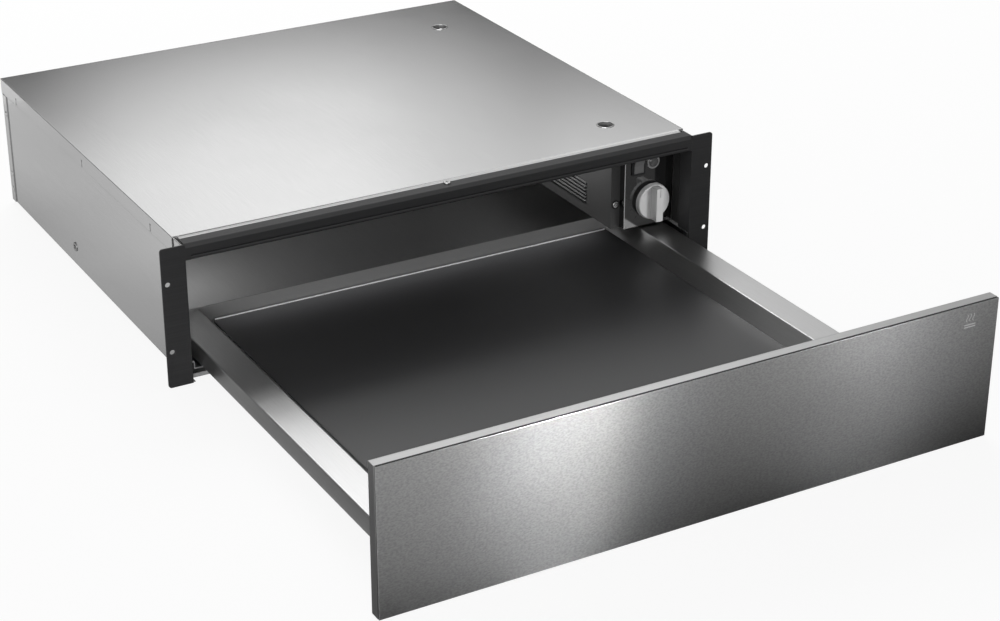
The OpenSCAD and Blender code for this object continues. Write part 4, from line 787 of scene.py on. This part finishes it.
# The heater's tube: oxidised stainless steel, brown-grey from its own heat.
sheath_steel = metal_sheet("heat_oxidised_sheath", "#4b4745", 0.4, 1.0, "x", cloud=0.08)
dress(sheath_steel, "heating_element")


# The push latch on the casing's floor, behind the drawer: a moulded body, a plunger that the
# drawer's tab meets, and a spring behind it. Body and plunger have their resins from above.
# Spring wire: drawn and blued, darker than the zinc.
spring_wire = metal_sheet("drawn_spring_wire", "#8a8a8c", 0.22, 0.5, "y", cloud=0.03)
dress(spring_wire, "latch_spring")


# The telescopic ball runners: three rolled steel members on each side, with two rows of balls
# in thin cages between them, and rubber stops at their ends.
# Black zinc plating: the members are passivated dark, so they are quiet under the tray.
runner_zinc = metal_sheet("black_passivated_zinc", "#77787a", 0.26, 1.0, "y", cloud=0.03)
members = ("cabinet_member", "middle_member", "drawer_member")
dress(runner_zinc, *[f"{member}_{side}" for member in members for side in ("left", "right")])

# Thin blank sheet of the cages, brighter than the members.
cage_sheet = metal_sheet("blank_cage_sheet", "#b9bbbd", 0.24, 0.8, "y", cloud=0.02)
dress(cage_sheet, "outer_cage_left", "outer_cage_right", "inner_cage_left", "inner_cage_right")

# Hardened balls: lapped, with a mirror finish.
ball_steel = metal_sheet("lapped_bearing_steel", "#c6c6c8", 0.06, 2.0, "x", cloud=0.01,
                         line_depth=0.0)
dress(ball_steel, "outer_balls_left", "outer_balls_right", "inner_balls_left", "inner_balls_right")

# Rubber stops: soft, matt and nearly black.
stop_rubber = moulding("moulded_stop_rubber", "#1a1a1a", 0.6)
dress(stop_rubber, "runner_buffers")


# The drawer's tray: one sheet of stainless steel, folded lengthwise into two ledges, sloping
# sides and the floor. Its folds are rounded, and catch the light. A back plate closes its rear
# end. Its heights are over the casing's foot, and lift_z takes them to the frame.
tray_t = 0.001
tray_front_y, tray_back_y = -0.416, 0.079
lift_z = -0.0692
skirt_x, skirt_z = 0.2625, 0.0165
ledge_in_x, ledge_z = 0.232, 0.0345
floor_x, floor_z_in_tray = 0.2198, 0.018
fold_r = 0.0012
fold_steps = 6


def folded_path(corners, radius):
    """The corners of a folded sheet's middle line, with an arc in place of each inner corner."""
    path = [Vector(corners[0])]
    for before, corner, after in zip(corners, corners[1:], corners[2:]):
        before, corner, after = Vector(before), Vector(corner), Vector(after)
        into, out = (corner - before).normalized(), (after - corner).normalized()
        half = into.angle(out) / 2
        reach = radius * math.tan(half)
        centre = corner + (out - into).normalized() * (radius / math.cos(half))
        first, last = corner - into * reach - centre, corner + out * reach - centre
        for step in range(fold_steps + 1):
            path.append(centre + first.slerp(last, step / fold_steps).normalized() * radius)
    path.append(Vector(corners[-1]))
    return path


def folded_sheet(mesh, path, thickness, start_y, end_y):
    """Adds to a mesh a sheet along a path of (x, z) points, from one y to the other."""
    rows = []
    for i, point in enumerate(path):
        way = (path[min(i + 1, len(path) - 1)] - path[max(i - 1, 0)]).normalized()
        side = Vector((-way.y, way.x)) * (thickness / 2)
        rows.append([mesh.verts.new((u, y, v)) for y in (start_y, end_y)
                     for u, v in (point + side, point - side)])
    for one, two in zip(rows, rows[1:]):
        for a, b in ((0, 2), (2, 3), (3, 1), (1, 0)):
            mesh.faces.new((one[a], one[b], two[b], two[a]))
    for row in (rows[0], rows[-1]):
        mesh.faces.new((row[0], row[2], row[3], row[1]))


mid = tray_t / 2
half_profile = [(skirt_x - mid, skirt_z), (skirt_x - mid, ledge_z - mid),
                (ledge_in_x + mid, ledge_z - mid), (floor_x, floor_z_in_tray - mid)]
corners = [(x, z + lift_z) for x, z in half_profile]
corners += [(-x, z) for x, z in reversed(corners)]
mesh = bmesh.new()
folded_sheet(mesh, folded_path(corners, fold_r), tray_t, tray_front_y, tray_back_y)

# Ground stainless steel: the belt has left fine lines from front to back, which draw each
# reflection out across them.
tray_steel = metal_sheet("belt_ground_stainless_sheet", "#c6c6c6", 0.3, 1.2, "y", anisotropic=0.5,
                         tangent=(1, 0, 0), cloud=0.03, line_depth=0.05, edge_mm=0.4)
tray = finished_piece("tray_sheet", mesh, tray_steel)
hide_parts("drawer_tray")
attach(tray, "drawer")
# The lamps that are set for the CAD tray light this sheet in its place.
tray_only.objects.link(tray)

# The back plate stands between the sloping sides, with its two upper corners cut off.
plate_foot_z = 0.017
plate_lip, plate_cut = 0.0002, 0.0004
wall = [(-floor_x, plate_foot_z), (floor_x, plate_foot_z),
        (ledge_in_x + plate_lip, ledge_z - plate_cut), (ledge_in_x - plate_cut, ledge_z),
        (plate_cut - ledge_in_x, ledge_z), (-ledge_in_x - plate_lip, ledge_z - plate_cut)]
mesh = bmesh.new()
front_ring = [mesh.verts.new((x, tray_back_y - tray_t, z + lift_z)) for x, z in wall]
back_ring = [mesh.verts.new((x, tray_back_y, z + lift_z)) for x, z in wall]
mesh.faces.new(front_ring)
mesh.faces.new(reversed(back_ring))
for i in range(len(wall)):
    j = (i + 1) % len(wall)
    mesh.faces.new((front_ring[i], front_ring[j], back_ring[j], back_ring[i]))

# Blasted stainless steel: it scatters the light and reads as an even grey.
blasted_steel = metal_sheet("blasted_stainless_plate", "#a8a8a8", 0.5, 0.6, "x", cloud=0.03,
                            edge_mm=0.6, metallic=0.4)
back_plate = finished_piece("tray_back_plate", mesh, blasted_steel)
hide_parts("drawer_tray")
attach(back_plate, "drawer")


# The mat on the tray's floor keeps the dishes from sliding. It is cut from a black rubber
# sheet. A thin pale strip along its back edge is a painted highlight.
# Calendered rubber: black with a silky sheen and a fine even pore.
mat_rubber = moulding("calendered_black_rubber", "#2a2a2b", 0.36, grain_mm=1.0, depth=0.05,
                      edge_mm=0.6)
dress(mat_rubber, "drawer_mat")

strip_low = (-0.2170, 0.0742, -0.0497)
strip_high = (0.2170, 0.0756, -0.0483)
strip_r = 0.0003
mesh = bmesh.new()
rounded_block(mesh, strip_low, strip_high, strip_r)
# Painted highlight: a pale, mostly matt strip, bright so that it shows as one thin line.
highlight_strip_grey = metal_sheet("painted_highlight_strip", "#f2f2f2", 0.4, 0.6, "x", cloud=0.02,
                          metallic=0.2)
strip = finished_piece("mat_back_highlight_strip", mesh, highlight_strip_grey)
# The lamp of the controls lights it too.
controls_only.objects.link(strip)
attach(strip, "drawer")


# The drawer's front: a face of stainless steel, bonded with a black seam to a shallow folded
# pan, which is filled with an insulating board and closed by an inner plate.
front_x = 0.297
front_low_z, front_high_z = -0.0726, 0.0612
skin_front_y, skin_back_y = -0.42796, -0.4268
skin_r, skin_steps = 0.0004, 4
mesh = bmesh.new()
rounded_block(mesh, (-front_x, skin_front_y, front_low_z), (front_x, skin_back_y, front_high_z),
              skin_r, skin_steps)

# Bead-blasted stainless steel with a short horizontal grain, which draws each reflection out
# upwards. The real grain is finer than what shows here: its spots are drawn 1.3 mm high and
# nearly twice as wide, so that they can be seen.
spot_mm, spot_stretch = 1.3, 1.8
spot_dark, spot_light = 0.87, 1.13
front_steel = metal_sheet("grained_stainless_face", "#a2a2a2", 0.31, 1.0, "x", stretch=2,
                          anisotropic=1.0, tangent=(0, 0, 1), cloud=0.05, line_depth=0.0,
                          edge_mm=0.8)
tree = front_steel.node_tree
metal = next(n for n in tree.nodes if n.type == "BSDF_PRINCIPLED")
base = metal.inputs["Base Color"].links[0].from_socket
spot_per_m = 1000 / spot_mm
place = node(tree, "ShaderNodeTexCoord")
spots_at = node(tree, "ShaderNodeMapping", {
    "Vector": place.outputs["Object"],
    "Scale": (spot_per_m / spot_stretch, spot_per_m, spot_per_m)})
spots = node(tree, "ShaderNodeTexNoise", {"Vector": spots_at, "Scale": 1.0, "Detail": 1.0,
                                           "Roughness": 0.5})
mottle = node(tree, "ShaderNodeMapRange", {0: spots, 1: noise_low, 2: noise_high,
                                            3: spot_dark, 4: spot_light})
mottled = node(tree, "ShaderNodeVectorMath", {0: base, "Scale": mottle}, operation="SCALE")
tree.links.new(mottled.outputs[0], metal.inputs["Base Color"])
skin = finished_piece("front_face_sheet", mesh, front_steel)
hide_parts("front_skin")
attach(skin, "drawer")
# The lamps that are set for the CAD skin light this sheet in its place.
front_only.objects.link(skin)

# The bond: black adhesive film, of which only the thin seam round the edge shows. The same
# black paints the shadow in the gap along the top, below.
bond_film_and_gap_shadow = moulding("black_adhesive_and_painted_gap_shadow", "#111111", 0.6)
dress(bond_film_and_gap_shadow, "front_bond")

# Painted shadow: a thin black strip along the top, where the gap between face and pan lies in
# shade.
top_gap_low = (-0.2962, -0.42765, 0.06105)
top_gap_high = (0.2962, -0.42545, 0.06135)
top_gap_r = 0.0001
mesh = bmesh.new()
rounded_block(mesh, top_gap_low, top_gap_high, top_gap_r)
top_gap_shadow = finished_piece("painted_gap_shadow_bead", mesh, bond_film_and_gap_shadow)
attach(top_gap_shadow, "drawer")

# Ground stainless steel of the pan and the inner plate: lines along the front, and satin.
pan_steel = metal_sheet("ground_stainless_pan", "#c0c0c0", 0.3, 1.0, "x", cloud=0.05,
                        line_depth=0.1, edge_mm=0.8)
dress(pan_steel, "front_pan", "front_inner")

# Pressed mineral fibre of the board: pale, matt and fibrous.
mineral_board = moulding("pressed_mineral_fibre", "#cfc8b8", 0.9, grain_mm=0.6, depth=0.6)
dress(mineral_board, "front_board")


# The mark near the front's upper right corner, a generic sign for warmth: three wavy lines
# over a double bar, etched into the face after it is grained.
mark_x, mark_top_z, mark_foot_z = 0.267, 0.0528, 0.0400
wave_gap, wave_swing = 0.0034, 0.0008
wave_h, line_w = 0.0072, 0.0007
wave_steps = 16
bar_w, bar_h = 0.0122, 0.0011
bar_r, bar_r_steps = bar_h / 4, 2
mark_front_y, mark_back_y = -0.428, -0.4278
mesh = bmesh.new()
for column in (-1, 0, 1):
    rows = []
    for i in range(wave_steps + 1):
        share = i / wave_steps
        z = mark_top_z - wave_h * share
        x = mark_x + column * wave_gap + wave_swing * math.sin(2 * math.pi * share)
        rows.append([mesh.verts.new((x + side * line_w / 2, y, z))
                     for y in (mark_front_y, mark_back_y) for side in (-1, 1)])
    for one, two in zip(rows, rows[1:]):
        for a, b in ((0, 1), (1, 3), (3, 2), (2, 0)):
            mesh.faces.new((one[a], one[b], two[b], two[a]))
    for row in (rows[0], rows[-1]):
        mesh.faces.new((row[0], row[1], row[3], row[2]))
for foot in (mark_foot_z, mark_foot_z + 2 * bar_h):
    rounded_block(mesh, (mark_x - bar_w / 2, mark_front_y, foot),
                  (mark_x + bar_w / 2, mark_back_y, foot + bar_h), bar_r, bar_r_steps, along=1)
# Etched stainless steel: a frosted surface that stays pale in the dark part of the face.
etched_steel = metal_sheet("etched_stainless_mark", "#d6d6d6", 0.6, 0.5, "x", cloud=0.03,
                           metallic=0.4)
mark = finished_piece("etched_heat_mark", mesh, etched_steel)
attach(mark, "drawer")
